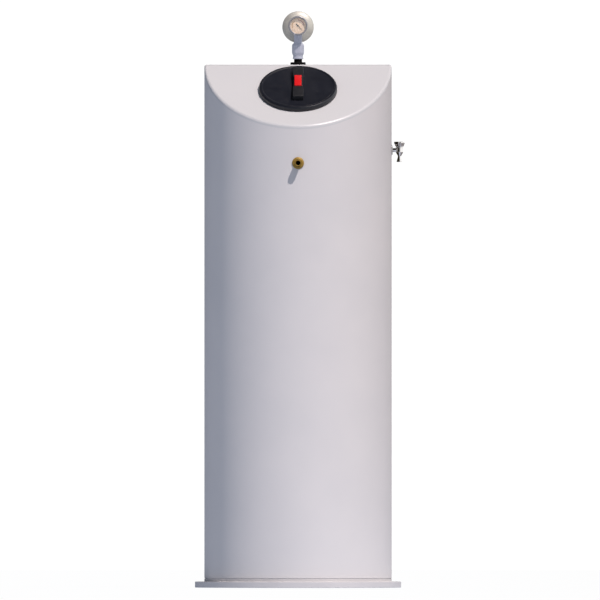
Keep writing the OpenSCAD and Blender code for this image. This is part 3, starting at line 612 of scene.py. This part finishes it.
# %% Roof cover
# The inner ridge line lies a little behind the outer one, so the slope's wall has full thickness.
inner_drop = roof_t / math.cos(slope)
roof_shell = shape(roof_block(body_r, ridge, rim_round), "roof_shell")
skirt = shape(roof_block(skirt_r, ridge - 2 * roof_t), "skirt")
cut(roof_shell, shape(roof_block(body_r + 5, ridge - rim_h), "lower_rim"))
cut(skirt, shape(roof_block(body_r + 5, ridge - rim_h - skirt_h), "lower_skirt"))
joined(roof_shell, skirt)
cut(roof_shell, shape(roof_block(skirt_r - roof_t, ridge - inner_drop, 5), "inside"))
riser = Span("riser_pipe")
cut(roof_shell,
    rod(104, -20, 20, on_roof_slope(), 128),
    rod(riser.size.x / 2 + 3, ridge - 20, ridge + 20, upright(0, riser.mid.y, 0)))
present(roof_shell, "roof_paint", ["roof_cover"])

# %% [markdown]
# ## Even shading on big flat faces
# The roof's flat faces meet their bevels smoothly, and plain vertex normals would bend the light
# far into the flats. The Weighted Normal modifier lets the large faces win, so the flats stay flat.

# %% Weighted normals
for big in (roof_shell, sheet_jacket, base_disc):
    weighted = big.modifiers.new("Weighted normals", "WEIGHTED_NORMAL")
    weighted.keep_sharp = True
    weighted.weight = 100
print("weighted normals on 3 pieces")

# %% [markdown]
# # The heater cap
# A round moulded cap hides the heater's flange. A low bead runs round its edge and sets the rim off
# from the flat middle, which draws a thin line of light and dark. Inside it is hollow, with a spigot
# that centres it in the roof. All of it is one turned section on the roof's slope.

# %% Cap
cap_r = Span("heater_cap").size.x / 2
cap_h = 16
cap_wall = 3
spigot_r = 103.5
bead_r = 112.5
cap_outline = [
    (0, cap_h - cap_wall), (114, cap_h - cap_wall, 3), (120, 8, 2), (120, 4),
    (spigot_r - 3, 4), (spigot_r - 3, -6), (spigot_r, -6, 0.5), (spigot_r, 2.2), (cap_r - 2, 2.2),
    (cap_r - 2, 0.3), (cap_r, 0.3, 0.4), (cap_r, 12.4, 2.5), (cap_r - 3.2, cap_h + 1.2, 2),
    (bead_r + 4, cap_h + 1.4, 2), (bead_r, cap_h, 1.5), (0, cap_h),
]
cap = shape(turned(cap_outline, 160, 5), "heater_cap_shell", on_roof_slope())
screw_y = 70
drills = [
    rod(2.3, 0, 30, on_roof_slope() @ upright(0, side * screw_y, 0), 24) for side in (-1, 1)
]
cut(cap, *drills)
present(cap, "cap_plastic", ["heater_cap"])

# %% [markdown]
# # The switch spine
# The spine is a raised bridge across the cap that carries the mains rocker. From above it is a bow
# tie: full width at both ends and a little narrower beside the rocker. It is pressed from its
# outline, its top edges are rounded, and the rocker's slot is cut through it.

# %% Spine
spine_half = Span("switch_spine").size.x / 2
spine_up = 88.8
spine_down = 82.4
waist_half = 14.9
waist_reach = 40
spine_top = 33.7
pivot = joints["rocker_tilt"]["pos_m"]
rocker_y = (Vector(pivot) / MM - cap_centre).dot(Vector((0, slope_up.z, -slope_up.y)))
right_side = [
    (spine_half, -spine_down, 3), (spine_half, rocker_y - waist_reach, 20),
    (waist_half, rocker_y - waist_reach / 2, 20), (waist_half, rocker_y + waist_reach / 2, 20),
    (spine_half, rocker_y + waist_reach, 20), (spine_half, spine_up, 3),
]
left_side = [(-x, y, r) for x, y, r in reversed(right_side)]
spine_mesh = pressed(right_side + left_side, cap_h, spine_top)
soften(spine_mesh, 1.8, level(spine_top), 4)
spine = shape(spine_mesh, "switch_spine_shell", on_roof_slope())
slot_w, slot_l = 26.8, 58.6
slot_shape = pressed([(-slot_w / 2, -slot_l / 2), (slot_w / 2, -slot_l / 2),
                      (slot_w / 2, slot_l / 2), (-slot_w / 2, slot_l / 2)], 10, 50)
cut(spine, shape(slot_shape, "drill", on_roof_slope() @ upright(0, rocker_y, 0)))
present(spine, "spine_plastic", ["switch_spine"])

# %% [markdown]
# # Rocker and housing
# The housing is a small open box let into the spine; its lip is a rounded frame. The rocker in it
# has a shallow saddle on top, so a finger finds either end, and it turns on two short pins. The
# saddle is a formula along the rocker, and the ends are arcs round the pivot, so that they clear
# the housing at every angle.

# %% Switch housing
pivot_up = 32.7
housing_w, housing_l, housing_wall = 26.2, 57.0, 1.5
rocker_w = 22.6
pin_r = 0.9


def box_outline(width, length, radius):
    return [(sx * width / 2, sy * length / 2, radius)
            for sx, sy in ((-1, -1), (1, -1), (1, 1), (-1, 1))]


housing_mesh = soften(pressed(box_outline(housing_w, housing_l, 1.2), 18.7, spine_top),
                      0.5, level(spine_top))
housing = shape(housing_mesh, "switch_housing_box", on_roof_slope() @ upright(0, rocker_y, 0))
well = pressed(box_outline(rocker_w + 0.6, housing_l - 2 * housing_wall, 0.8), 20.7, 60)
cut(housing, shape(well, "drill", on_roof_slope() @ upright(0, rocker_y, 0)),
    rod(pin_r + 0.05, -20, 20, Matrix.Translation(pivot) @ Matrix.Rotation(math.pi / 2, 4, "Y"), 32))
present(housing, "housing_plastic", ["switch_housing"])

# %% Rocker
rest_tilt = math.radians(6)
rocker_reach = 26.8
saddle = 2.8
low_side = -5
crest = 4 + saddle
end_top = math.asin(crest / rocker_reach)
end_low = math.asin(low_side / rocker_reach)
saddle_points = 16
rocker_outline = []
for i in range(saddle_points + 1):
    along = 1 - 2 * i / saddle_points
    top = 4 + saddle * abs(along) ** 1.7
    rocker_outline.append((along * rocker_reach * math.cos(end_top), top))
for side in (-1, 1):
    arc = [end_top + (end_low - end_top) * i / 6 for i in range(1, 7)]
    points = [(side * rocker_reach * math.cos(a), rocker_reach * math.sin(a)) for a in arc]
    rocker_outline += points if side < 0 else points[::-1]
rocker_mesh = soften(pressed(rocker_outline, -rocker_w / 2, rocker_w / 2), 0.9, angle=50)
along_x = Matrix(((0, 0, 1, 0), (1, 0, 0, 0), (0, 1, 0, 0), (0, 0, 0, 1)))
rocker_place = Matrix.Translation(pivot) @ Matrix.Rotation(slope + rest_tilt, 4, "X")
rocker = shape(rocker_mesh, "rocker_paddle", rocker_place @ along_x)
pins = rod(pin_r, -12.9, 12.9, rocker_place @ Matrix.Rotation(math.pi / 2, 4, "Y"), 32)
joined(rocker, pins)
present(rocker, "rocker_red", ["rocker_button"], "rocker")

# %% [markdown]
# # Riser, grommet and union
# The gauge stands on a steel riser. A rubber grommet seals the roof round it, and a plastic union
# with a stout nut joins riser and manifold. The nut is nearly round with six small flats: a circle
# whose radius follows a formula, extruded through four rings so that both ends taper.

# %% Grommet and union tail
grommet = Span("riser_grommet")
flange_r = grommet.size.x / 2
riser_r = riser.size.x / 2
riser_y = riser.mid.y
tail = Span("union_tail")
tail_r = tail.size.x / 2
flange_top = ridge + 8.5
grommet_outline = [
    (riser_r + 0.1, grommet.low.z), (riser_r + 2.6, grommet.low.z, 0.4), (riser_r + 2.6, ridge),
    (flange_r, ridge, 0.5), (flange_r, flange_top, 2), (riser_r + 1.85, flange_top, 1.2),
    (riser_r + 1.85, grommet.high.z), (riser_r + 0.1, grommet.high.z),
]
present(shape(turned(grommet_outline), "roof_grommet", upright(0, riser_y, 0)),
        "grommet_rubber", ["riser_grommet"])
tail_outline = [
    (riser_r + 0.05, tail.low.z), (tail_r, tail.low.z, 1.2), (tail_r - 0.3, tail.low.z + 4, 0.6),
    (tail_r - 1.2, tail.low.z + 4.8, 0.5), (tail_r - 1.2, tail.high.z), (riser_r + 0.05, tail.high.z),
]
present(shape(turned(tail_outline), "union_collar", upright(0, riser_y, 0)),
        "union_grey", ["union_tail"])


# %% Union nut
def nut(reach, flat, levels, around=120):
    """A nut: each level is (height, scale); flats are cut where the circle passes them."""
    bm = bmesh.new()
    made = bmesh.ops.create_circle(bm, cap_ends=True, segments=around, radius=reach * MM)
    for v in made["verts"]:
        off_middle = math.atan2(v.co.y, v.co.x) % math.radians(60) - math.radians(30)
        radius = min(reach, flat / math.cos(off_middle))
        v.co = v.co.normalized() * radius * MM
    low, scale = levels[0]
    bmesh.ops.transform(bm, verts=bm.verts, matrix=upright(0, 0, low) @ Matrix.Diagonal((scale, scale, 1, 1)))
    face = bm.faces[:][0]
    for (below, before), (height, scale) in zip(levels, levels[1:]):
        grown = bmesh.ops.extrude_face_region(bm, geom=[face])["geom"]
        face = next(g for g in grown if isinstance(g, bmesh.types.BMFace))
        ratio = scale / before
        bmesh.ops.translate(bm, verts=face.verts, vec=(0, 0, (height - below) * MM))
        bmesh.ops.scale(bm, verts=face.verts, vec=(ratio, ratio, 1))
    return tidy(bm)


union = Span("union_nut")
nut_r = union.size.x / 2
nut_levels = [
    (union.low.z, 0.85), (union.low.z + 1, 0.885), (union.low.z + 6, 0.975), (union.low.z + 8.5, 1),
    (union.high.z - 6.5, 1), (union.high.z - 4.2, 0.975), (union.high.z - 1, 0.84), (union.high.z, 0.80),
]
union_nut = shape(nut(nut_r, nut_r * 0.94, nut_levels), "union_ring_nut", upright(0, riser_y, 0))
cut(union_nut, rod(riser_r + 0.05, union.low.z - 1, union.high.z + 1, upright(0, riser_y, 0)))
present(union_nut, "union_grey", ["union_nut"])

# %% [markdown]
# # Manifold
# The manifold is a round casting that feeds the gauge in front and the small expansion dome behind.
# Its shaft, a collar and the rear boss are turned and joined; the water way is drilled through.

# %% Manifold
manifold = Span("gauge_manifold")
dome = Span("dome_front_shell")
stem_r = manifold.size.x / 2
stem_outline = [
    (0, manifold.low.z), (stem_r, manifold.low.z, 0.8), (stem_r, manifold.low.z + 4, 0.6),
    (stem_r - 0.9, manifold.low.z + 5, 0.6), (stem_r - 0.9, dial_z - 16, 1), (stem_r, dial_z - 14.5, 1),
    (stem_r, manifold.high.z, 4), (0, manifold.high.z),
]
stem = shape(turned(stem_outline), "gauge_stem", upright(0, riser_y, 0))
boss_z = dome.mid.z
joined(stem, shape(turned([(0, 8), (9, 8), (9, manifold.high.y - riser_y, 0.8),
                           (0, manifold.high.y - riser_y)], 64), "boss",
                   facing(0, riser_y, boss_z, 90)))
cut(stem, rod(6, manifold.low.z - 1, dial_z + 5, upright(0, riser_y, 0)),
    rod(5.05, 0, 40, facing(0, riser_y, boss_z, 90)),
    rod(5.05, 0, 40, facing(0, riser_y, dial_z, -90)))
present(stem, "union_grey", ["gauge_manifold"])

# %% [markdown]
# # The pressure gauge
# The case is a deep-drawn cup, the bezel a rolled ring that holds a slightly crowned glass. The
# dial carries a scale of ticks and numbers, with one rose and one ochre arc for the working ranges.
# Ticks and arcs are thin solids, so they stay crisp at any distance.

# %% Case, bezel and glass
case = Span("gauge_case")
case_r = case.size.x / 2
case_d = case.size.y
case_outline = [
    (4.05, 0), (case_r, 0, 4), (case_r, case_d), (case_r - 1.5, case_d), (case_r - 1.5, 1.5, 2.5),
    (4.05, 1.5),
]
present(shape(turned(case_outline), "gauge_cup", at_dial(case.high.y)), "case_steel", ["gauge_case"])
bezel = Span("gauge_bezel")
bezel_r = bezel.size.x / 2
bezel_outline = [
    (case_r + 0.05, -7), (bezel_r, -7, 0.5), (bezel_r, 0, 2.2), (bezel_r - 4.4, 0, 1.6),
    (case_r - 4.6, -1.45, 0.3), (case_r + 0.05, -1.45),
]
present(shape(turned(bezel_outline, 128, 6), "gauge_ring", at_dial(bezel.low.y)),
        "case_steel", ["gauge_bezel"])
glass = Span("gauge_glass")
glass_r = glass.size.x / 2
glass_outline = [(0, 0), (glass_r, 0), (glass_r, 0.9), (glass_r / 2, 1.35, 20), (0, 1.5)]
present(shape(turned(glass_outline), "gauge_lens", at_dial(glass.high.y)),
        "dial_glass", ["gauge_glass"])

# %% Dial card
dial = Span("gauge_dial")
dial_r = dial.size.x / 2
dial_t = dial.size.y
card = shape(turned([(1.3, 0), (dial_r, 0), (dial_r, dial_t, 0.2), (1.3, dial_t)], 128), "dial_card",
             at_dial(dial.high.y))
present(card, "dial_face", ["gauge_dial"])


# %% Print on the dial: arcs, ticks and numbers
def ink(name, colour):
    finish(name, (colour, tuple(0.85 * c for c in colour)), (0.5, 0.6), patch=300, fine=1500,
           depth=0.005)
    return finishes[name]


INK_T = 0.06
scale_start, scale_end = 225, -45
marks = 40


def arc_band(inner, outer, first, last):
    """A flat ring piece between two angles, counted from the right, anticlockwise."""
    bm = bmesh.new()
    line = [bm.verts.new((r * MM, 0, 0)) for r in (inner, outer)]
    edge = bm.edges.new(line)
    bmesh.ops.rotate(bm, verts=line, matrix=Matrix.Rotation(math.radians(first), 3, "Z"))
    bmesh.ops.spin(bm, geom=line + [edge], axis=(0, 0, 1), cent=(0, 0, 0), dvec=(0, 0, 0),
                   angle=math.radians(last - first), steps=max(2, abs(last - first) // 4))
    grown = bmesh.ops.extrude_face_region(bm, geom=bm.faces[:])["geom"]
    bmesh.ops.translate(bm, verts=[v for v in grown if isinstance(v, bmesh.types.BMVert)],
                        vec=(0, 0, INK_T * MM))
    return tidy(bm)


dial_face = at_dial(dial.low.y)
ink("rose_ink", (0.50, 0.13, 0.12))
ink("ochre_ink", (0.52, 0.27, 0.07))
for name, first, last in (("rose_ink", 0, 92), ("ochre_ink", 120, 204)):
    band = shape(arc_band(17.2, 19.6, first, last), name.replace("ink", "arc"), dial_face)
    band.data.materials.append(finishes[name])
    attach(band, "tank")
scale = bmesh.new()
for i in range(marks + 1):
    turn = math.radians(scale_start + (scale_end - scale_start) * i / marks)
    length, width = ((3.6, 0.5) if i % 8 == 0 else (2.6, 0.3) if i % 4 == 0 else (1.6, 0.2))
    spot = (Matrix.Rotation(turn, 4, "Z") @ upright(24 - length / 2, 0, INK_T / 2)
            @ Matrix.Diagonal((length * MM, width * MM, INK_T * MM, 1)))
    bmesh.ops.create_cube(scale, size=1, matrix=spot)
ticks = present(shape(scale, "dial_ticks", dial_face), "needle_black", [])

# %% Numbers on the scale
numbers = 6
figure_size = 3.4
for i in range(numbers):
    turn = math.radians(scale_start + (scale_end - scale_start) * i / (numbers - 1))
    words = bpy.data.curves.new(f"figure_{i}", "FONT")
    words.body = str(2 * i)
    words.size = figure_size * MM
    words.align_x = "CENTER"
    words.align_y = "CENTER"
    words.extrude = INK_T / 2 * MM
    holder = bpy.data.objects.new(f"figure_{i}", words)
    bpy.context.scene.collection.objects.link(holder)
    bpy.context.view_layer.update()
    printed = bpy.data.meshes.new_from_object(holder.evaluated_get(bpy.context.evaluated_depsgraph_get()))
    bpy.data.objects.remove(holder)
    printed.transform(dial_face @ upright(14.2 * math.cos(turn), 14.2 * math.sin(turn), INK_T / 2))
    figure = bpy.data.objects.new(f"dial_figure_{2 * i}", printed)
    bpy.context.scene.collection.objects.link(figure)
    present(figure, "needle_black", [])

# %% [markdown]
# ## Needle
# The needle is a thin stamped pointer: a long tapering arm, a short broad tail that balances it,
# and a hub pressed on the arbor. It rides on its own body, so it sweeps when the joint turns.

# %% Needle
needle_length = 21
tail_length = 9
arm_low = dial_t + 1
rest_angle = math.radians(-45)
needle_outline = [(-tail_length, -1.5, 0.3), (0, -1.0), (needle_length, -0.28), (needle_length, 0.28),
                  (0, 1.0), (-tail_length, 1.5, 0.3)]
needle_place = at_dial(dial.high.y) @ Matrix.Rotation(rest_angle, 4, "Z")
needle = shape(pressed(needle_outline, arm_low, arm_low + 0.7), "needle_arm", needle_place)
hub = turned([(0, -6), (1, -6), (1, 1), (2.4, 1), (2.4, 2.8, 0.5), (0, 3.4)], 32)
joined(needle, shape(hub, "hub", needle_place))
present(needle, "needle_black", ["gauge_needle"], "needle")

# %% [markdown]
# # The expansion dome
# Behind the gauge sits a small lens-shaped pressure dome of two pressed shells with a rolled seam.
# Each shell's outline is a formula: nearly flat in the middle and rounder towards the seam, as a
# pressing is. The wall follows the same curve, moved inwards.


# %% Dome shells
def shell_outline(reach, depth, wall, hole, points=18):
    """Cross-section of a pressed shell that is open at height 0."""
    def height(radius, room):
        return (depth - room) * (1 - (radius / (reach - room)) ** 2) ** 0.62

    radii = [hole + (reach - hole) * math.sin(math.pi / 2 * i / points) for i in range(points + 1)]
    outer = [(r, height(min(r, reach), 0)) for r in radii]
    inner = [(r, height(min(r, reach - wall), wall)) for r in radii if r < reach - wall]
    return outer + [(reach - wall, 0)] + inner[::-1]


dome_r = dome.size.x / 2
seam_front = dome.high.y
rear = Span("dome_rear_shell")
front_shell = shape(turned(shell_outline(dome_r, 16, 1.2, 3), 128), "dome_front_pressing",
                    upright(0, seam_front, boss_z) @ Matrix.Rotation(math.pi / 2, 4, "X"))
neck = turned([(3, 14.8), (5, 14.8), (5, seam_front - dome.low.y), (3, seam_front - dome.low.y)], 48)
joined(front_shell, shape(neck, "neck", upright(0, seam_front, boss_z) @ Matrix.Rotation(math.pi / 2, 4, "X")))
present(front_shell, "dome_steel", ["dome_front_shell"])
rear_place = upright(0, rear.low.y, boss_z) @ Matrix.Rotation(-math.pi / 2, 4, "X")
rear_shell = shape(turned(shell_outline(dome_r, 22, 1.2, 2), 128), "dome_rear_pressing", rear_place)
valve = turned([(1.5, 21), (4, 21), (4, 22.6, 0.4), (3.4, 23.2), (3.4, 24.6), (4, 25.2), (4, rear.size.y, 0.6),
                (1.5, rear.size.y)], 48)
joined(rear_shell, shape(valve, "valve", rear_place))
present(rear_shell, "dome_steel", ["dome_rear_shell"])

# %% [markdown]
# # Water ports
# The hot outlet in front and the cold inlet behind are brass nipples with a half-inch pipe thread.
# The body of each is turned. The thread is a small tooth on an edge that the spin operator carries
# round and outwards at once, so it is a true helix, and it stays within the nipple's diameter.

# %% Threaded nipple
pitch = 1.8
thread_deep = 0.75
turns = 11
around_thread = 48


def thread(reach, start):
    """Sweeps one thread tooth along a helix round z."""
    bm = bmesh.new()
    tooth = [bm.verts.new((r * MM, 0, (start + h) * MM))
             for r, h in ((reach - thread_deep - 0.3, 0.1), (reach, 0.75), (reach, 0.95),
                          (reach - thread_deep - 0.3, 1.6))]
    sides = [bm.edges.new((a, b)) for a, b in zip(tooth, tooth[1:] + tooth[:1])]
    bmesh.ops.spin(bm, geom=tooth + sides, cent=(0, 0, 0), axis=(0, 0, 1),
                   dvec=(0, 0, pitch * MM / around_thread), angle=math.tau * turns,
                   steps=turns * around_thread)
    bmesh.ops.holes_fill(bm, edges=[e for e in bm.edges if e.is_boundary])
    return tidy(bm)


def nipple(node, place, name):
    reach = Span(node).size.x / 2
    inner = min(abs(Span(node).low.y), abs(Span(node).high.y))
    tip = max(abs(Span(node).low.y), abs(Span(node).high.y))
    root = reach - thread_deep
    bore = 7.5
    shoulder = body_r + 7
    outline = [
        (bore, inner), (reach, inner, 0.3), (reach, shoulder - 2, 0.4), (root - 0.5, shoulder - 1.6),
        (root, shoulder), (root, tip - 1.6), (root - 0.4, tip, 0.3), (bore + 1.2, tip, 0.3),
        (bore, tip - 1.4),
    ]
    bm = turned(outline, 72)
    piece = shape(bm, name, place)
    ridge_helix = shape(thread(reach, shoulder + 0.3), name + "_thread", place)
    return piece, ridge_helix


for side, node in (("outlet", "outlet_stub"), ("inlet", "inlet_stub")):
    piece, helix = nipple(node, ports[side][0], f"{side}_nipple")
    present(piece, "port_brass", [node])
    present(helix, "port_brass", [])

# %% Brass rosettes
for side in ("outlet", "inlet"):
    rosette = Span(f"{side}_rosette")
    plate_r = rosette.size.x / 2
    near = body_r + 0.05
    rosette_outline = [
        (10.8, near), (plate_r, near, 0.4), (plate_r, near + 2, 1.4), (plate_r - 4, near + 4.4, 1.5),
        (12.6, near + 5, 0.6), (10.8, near + 4.4),
    ]
    present(shape(turned(rosette_outline), f"{side}_rose", ports[side][0]), "port_brass",
            [f"{side}_rosette"])

# %% [markdown]
# # Relief valve
# The small chromed valve has a fluted knob above, a bellied body and a flared outlet below. The
# knob is turned and then its vertices are drawn in by a formula of their angle, which gives eight
# soft finger flutes without a single boolean. The body takes the side boss as a union.

# %% Relief valve body, bonnet and rosette
relief = joints["relief_turn"]["pos_m"]
relief_place = Matrix.Translation(relief)
valve_box = Span("relief_body")
relief_z = relief[2] / MM
belly_r = valve_box.size.y / 2
body_low = valve_box.low.z - relief_z
body_high = valve_box.high.z - relief_z
waist_z = -19
belly_outline = [
    (0, body_low), (9, body_low, 0.6), (9, body_low + 3, 1), (5.6, waist_z - 4, 4), (5.3, waist_z, 1.5),
    (belly_r, -7, 3), (belly_r, body_high, 0.5), (0, body_high),
]
belly = shape(turned(belly_outline, 96, 6), "relief_casting", relief_place)
boss = shape(turned([(0, -21), (6.5, -21, 0.5), (6.5, 0), (0, 0)], 48), "boss",
             relief_place @ Matrix.Rotation(math.pi / 2, 4, "Y"))
joined(belly, boss)
cut(belly, rod(8.5, -7, 20, relief_place), rod(4, body_low - 1, -3, relief_place),
    rod(5.35, -30, -9.5, relief_place @ Matrix.Rotation(math.pi / 2, 4, "Y"), 48))
present(belly, "relief_chrome", ["relief_body"])
bonnet_outline = [
    (2.05, 4), (8.45, 4), (8.45, 7), (belly_r, 7, 0.4), (belly_r, 11, 1.2), (2.05, 11),
]
present(shape(turned(bonnet_outline), "relief_cap", relief_place), "relief_chrome", ["relief_bonnet"])
wall_place = facing(0, 0, relief_z, 0)
plate_near = body_r + 0.05
plate_outline = [
    (5.6, plate_near), (16.8, plate_near, 0.3), (16.4, plate_near + 1.4, 0.8),
    (13, plate_near + 3, 1.2), (5.6, plate_near + 3),
]
present(shape(turned(plate_outline), "relief_rose", wall_place), "relief_chrome", ["relief_rosette"])

# %% Relief valve knob
knob_outline = [
    (4.5, 11.4), (12.4, 11.4, 1), (13.9, 13.4, 2), (17.5, 22.4, 2), (17.5, 27, 1.6), (11, 27, 1),
    (9.5, 26.2, 1), (0, 26.2), (0, 24.4), (4.5, 24.4),
]
knob_mesh = turned(knob_outline, 160, 4)
flutes = 8
for v in knob_mesh.verts:
    out = math.hypot(v.co.x, v.co.y)
    if out > 11.8 * MM:
        flute = max(0, math.cos(flutes * math.atan2(v.co.y, v.co.x))) ** 2
        shrink = 1 - 0.1 * flute
        v.co.x *= shrink
        v.co.y *= shrink
knob = shape(knob_mesh, "relief_handwheel", relief_place)
present(knob, "relief_chrome", ["relief_knob"], "relief_handle")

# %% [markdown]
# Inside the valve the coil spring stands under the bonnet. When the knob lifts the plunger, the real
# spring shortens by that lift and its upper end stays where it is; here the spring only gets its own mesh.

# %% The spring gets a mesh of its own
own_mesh(frame["nodes"]["relief_spring"])

# %% [markdown]
# # Cable gland
# At the back, a nylon gland holds the supply cable. It has a hexagon against the jacket and a domed
# clamping nut with fine ribs for grip.

# %% Gland
gland = Span("gland_body")
gland_place = facing(0, 0, gland.mid.z, 90)
hex_flat = 11
gland_hex = shape(nut(hex_flat * 1.1, hex_flat, [(body_r + 0.3, 0.97), (body_r + 0.9, 1),
                                                (body_r + 5.7, 1), (body_r + 6.3, 0.97)]),
                  "gland_hexagon", gland_place)
clamp_mesh = turned([(0, body_r + 6), (10.6, body_r + 6, 0.4), (10.6, body_r + 13, 0.6),
                     (9.9, body_r + 14), (7.5, gland.high.y, 1.6), (0, gland.high.y)], 144)
for v in clamp_mesh.verts:
    out = math.hypot(v.co.x, v.co.y)
    if out > 10.2 * MM:
        rib = 1 - 0.03 * (0.5 + 0.5 * math.cos(24 * math.atan2(v.co.y, v.co.x)))
        v.co.x *= rib
        v.co.y *= rib
joined(gland_hex, shape(clamp_mesh, "clamp", gland_place), rod(8, body_r - 14, body_r + 1, gland_place))
cut(gland_hex, rod(4, body_r - 20, body_r + 30, gland_place))
present(gland_hex, "gland_plastic", ["gland_body"])

# %% [markdown]
# # Stage, light and camera
# The floor is a wide pale disc. One warm sun from the upper right models the round body and throws
# the nipple's slanting shadow. A faint bluish sky fills the rest, a little more from the front, and
# bright metal sees a pale window on its right and a dim ceiling. To the camera, the sky and the far
# floor are white, as in a catalogue.

# %% Floor
floor_r = 15
ground = bmesh.new()
bmesh.ops.create_circle(ground, cap_ends=True, segments=96, radius=floor_r)
floor = shape(ground, "floor")
paper = bpy.data.materials.new("paper_floor")
paper.use_nodes = True
sheet = paper.node_tree
lit = sheet.nodes["Principled BSDF"]
lit.inputs["Roughness"].default_value = 0.9
lit.inputs["Base Color"].default_value = (0.2, 0.2, 0.2, 1)
lit.inputs["Emission Color"].default_value = (0.66, 0.77, 1, 1)
across = sheet.nodes.new("ShaderNodeSeparateXYZ")
where = sheet.nodes.new("ShaderNodeTexCoord")
fall = sheet.nodes.new("ShaderNodeMapRange")
fall.interpolation_type = "SMOOTHSTEP"
fall.inputs["From Min"].default_value = 0.2
fall.inputs["From Max"].default_value = 2.2
fall.inputs["To Min"].default_value = 0.56
fall.inputs["To Max"].default_value = 0.0
sheet.links.new(where.outputs["Object"], across.inputs["Vector"])
sheet.links.new(across.outputs["X"], fall.inputs["Value"])
sheet.links.new(fall.outputs["Result"], lit.inputs["Emission Strength"])
glow = sheet.nodes.new("ShaderNodeEmission")
seen = sheet.nodes.new("ShaderNodeLightPath")
share = sheet.nodes.new("ShaderNodeMath")
share.operation = "MULTIPLY"
share.inputs[1].default_value = 0.97
blend = sheet.nodes.new("ShaderNodeMixShader")
out = sheet.nodes["Material Output"]
sheet.links.new(seen.outputs["Is Camera Ray"], share.inputs[0])
sheet.links.new(share.outputs["Value"], blend.inputs["Fac"])
sheet.links.new(lit.outputs["BSDF"], blend.inputs[1])
sheet.links.new(glow.outputs["Emission"], blend.inputs[2])
sheet.links.new(blend.outputs["Shader"], out.inputs["Surface"])
floor.data.materials.append(paper)
print("floor radius", floor_r, "m")

# %% Sun and sky
sun = bpy.data.lights.new("sun", "SUN")
sun.energy = 3.85
sun.angle = math.radians(1.5)
sun.color = (1, 0.88, 0.838)
lamp = bpy.data.objects.new("sun", sun)
bpy.context.scene.collection.objects.link(lamp)
sun_from = Vector((0.329, -0.452, 0.829))
lamp.rotation_euler = sun_from.to_track_quat("Z", "Y").to_euler()
world = bpy.data.worlds.new("sky")
bpy.context.scene.world = world
world.use_nodes = True
sky = world.node_tree
ray = sky.nodes.new("ShaderNodeLightPath")
where = sky.nodes.new("ShaderNodeTexCoord")
split = sky.nodes.new("ShaderNodeSeparateXYZ")
sky.links.new(where.outputs["Generated"], split.inputs["Vector"])


def fade(axis, start, end, at_start, at_end):
    """A soft change of brightness over the sky, along one axis of the direction looked in."""
    ramp = sky.nodes.new("ShaderNodeMapRange")
    ramp.interpolation_type = "SMOOTHSTEP"
    limits = {"From Min": start, "From Max": end, "To Min": at_start, "To Max": at_end}
    for socket, value in limits.items():
        ramp.inputs[socket].default_value = value
    sky.links.new(split.outputs[axis], ramp.inputs["Value"])
    return ramp.outputs["Result"]


def light_of(colour, strength):
    background = sky.nodes.new("ShaderNodeBackground")
    background.inputs["Color"].default_value = (*colour, 1)
    if isinstance(strength, float):
        background.inputs["Strength"].default_value = strength
    else:
        sky.links.new(strength, background.inputs["Strength"])
    return background.outputs["Background"]


def choose(kind, otherwise, chosen):
    mix = sky.nodes.new("ShaderNodeMixShader")
    sky.links.new(ray.outputs[kind], mix.inputs["Fac"])
    sky.links.new(otherwise, mix.inputs[1])
    sky.links.new(chosen, mix.inputs[2])
    return mix.outputs["Shader"]


soft_fill = light_of((0.94, 1, 1.19), fade("Y", -1, 0.3, 0.4, 0.13))
window = sky.nodes.new("ShaderNodeMath")
window.operation = "MULTIPLY"
sky.links.new(fade("X", -0.1, 0.7, 0.03, 1.25), window.inputs[0])
sky.links.new(fade("Z", 0.45, 0.85, 1.0, 0.1), window.inputs[1])
seen_in_gloss = light_of((1, 1, 1), window.outputs["Value"])
white = light_of((1, 1, 1), 1.05)
lighting = choose("Is Glossy Ray", soft_fill, seen_in_gloss)
sky.links.new(choose("Is Camera Ray", lighting, white), sky.nodes["World Output"].inputs["Surface"])
print("one sun and a soft sky")

# %% [markdown]
# ## Camera
# The machine is seen straight from the front with almost no perspective, so a long lens stands far
# away. The distance follows from how much height the picture shows.

# %% Camera
shown_height = 1.922
middle_z = 0.921
eye_z = 0.4
middle_x = 0.0063
lens = bpy.data.cameras.new("camera")
lens.lens = 1700
lens.clip_end = 400
eye = bpy.data.objects.new("camera", lens)
bpy.context.scene.collection.objects.link(eye)
away = shown_height * lens.lens / lens.sensor_width
eye.location = (middle_x, -away, eye_z)
eye.rotation_euler = (math.radians(90) + math.atan((middle_z - eye_z) / away), 0, 0)
bpy.context.scene.camera = eye
bpy.context.scene.view_settings.view_transform = "Standard"
print(f"camera {-eye.location.y:.1f} m in front")
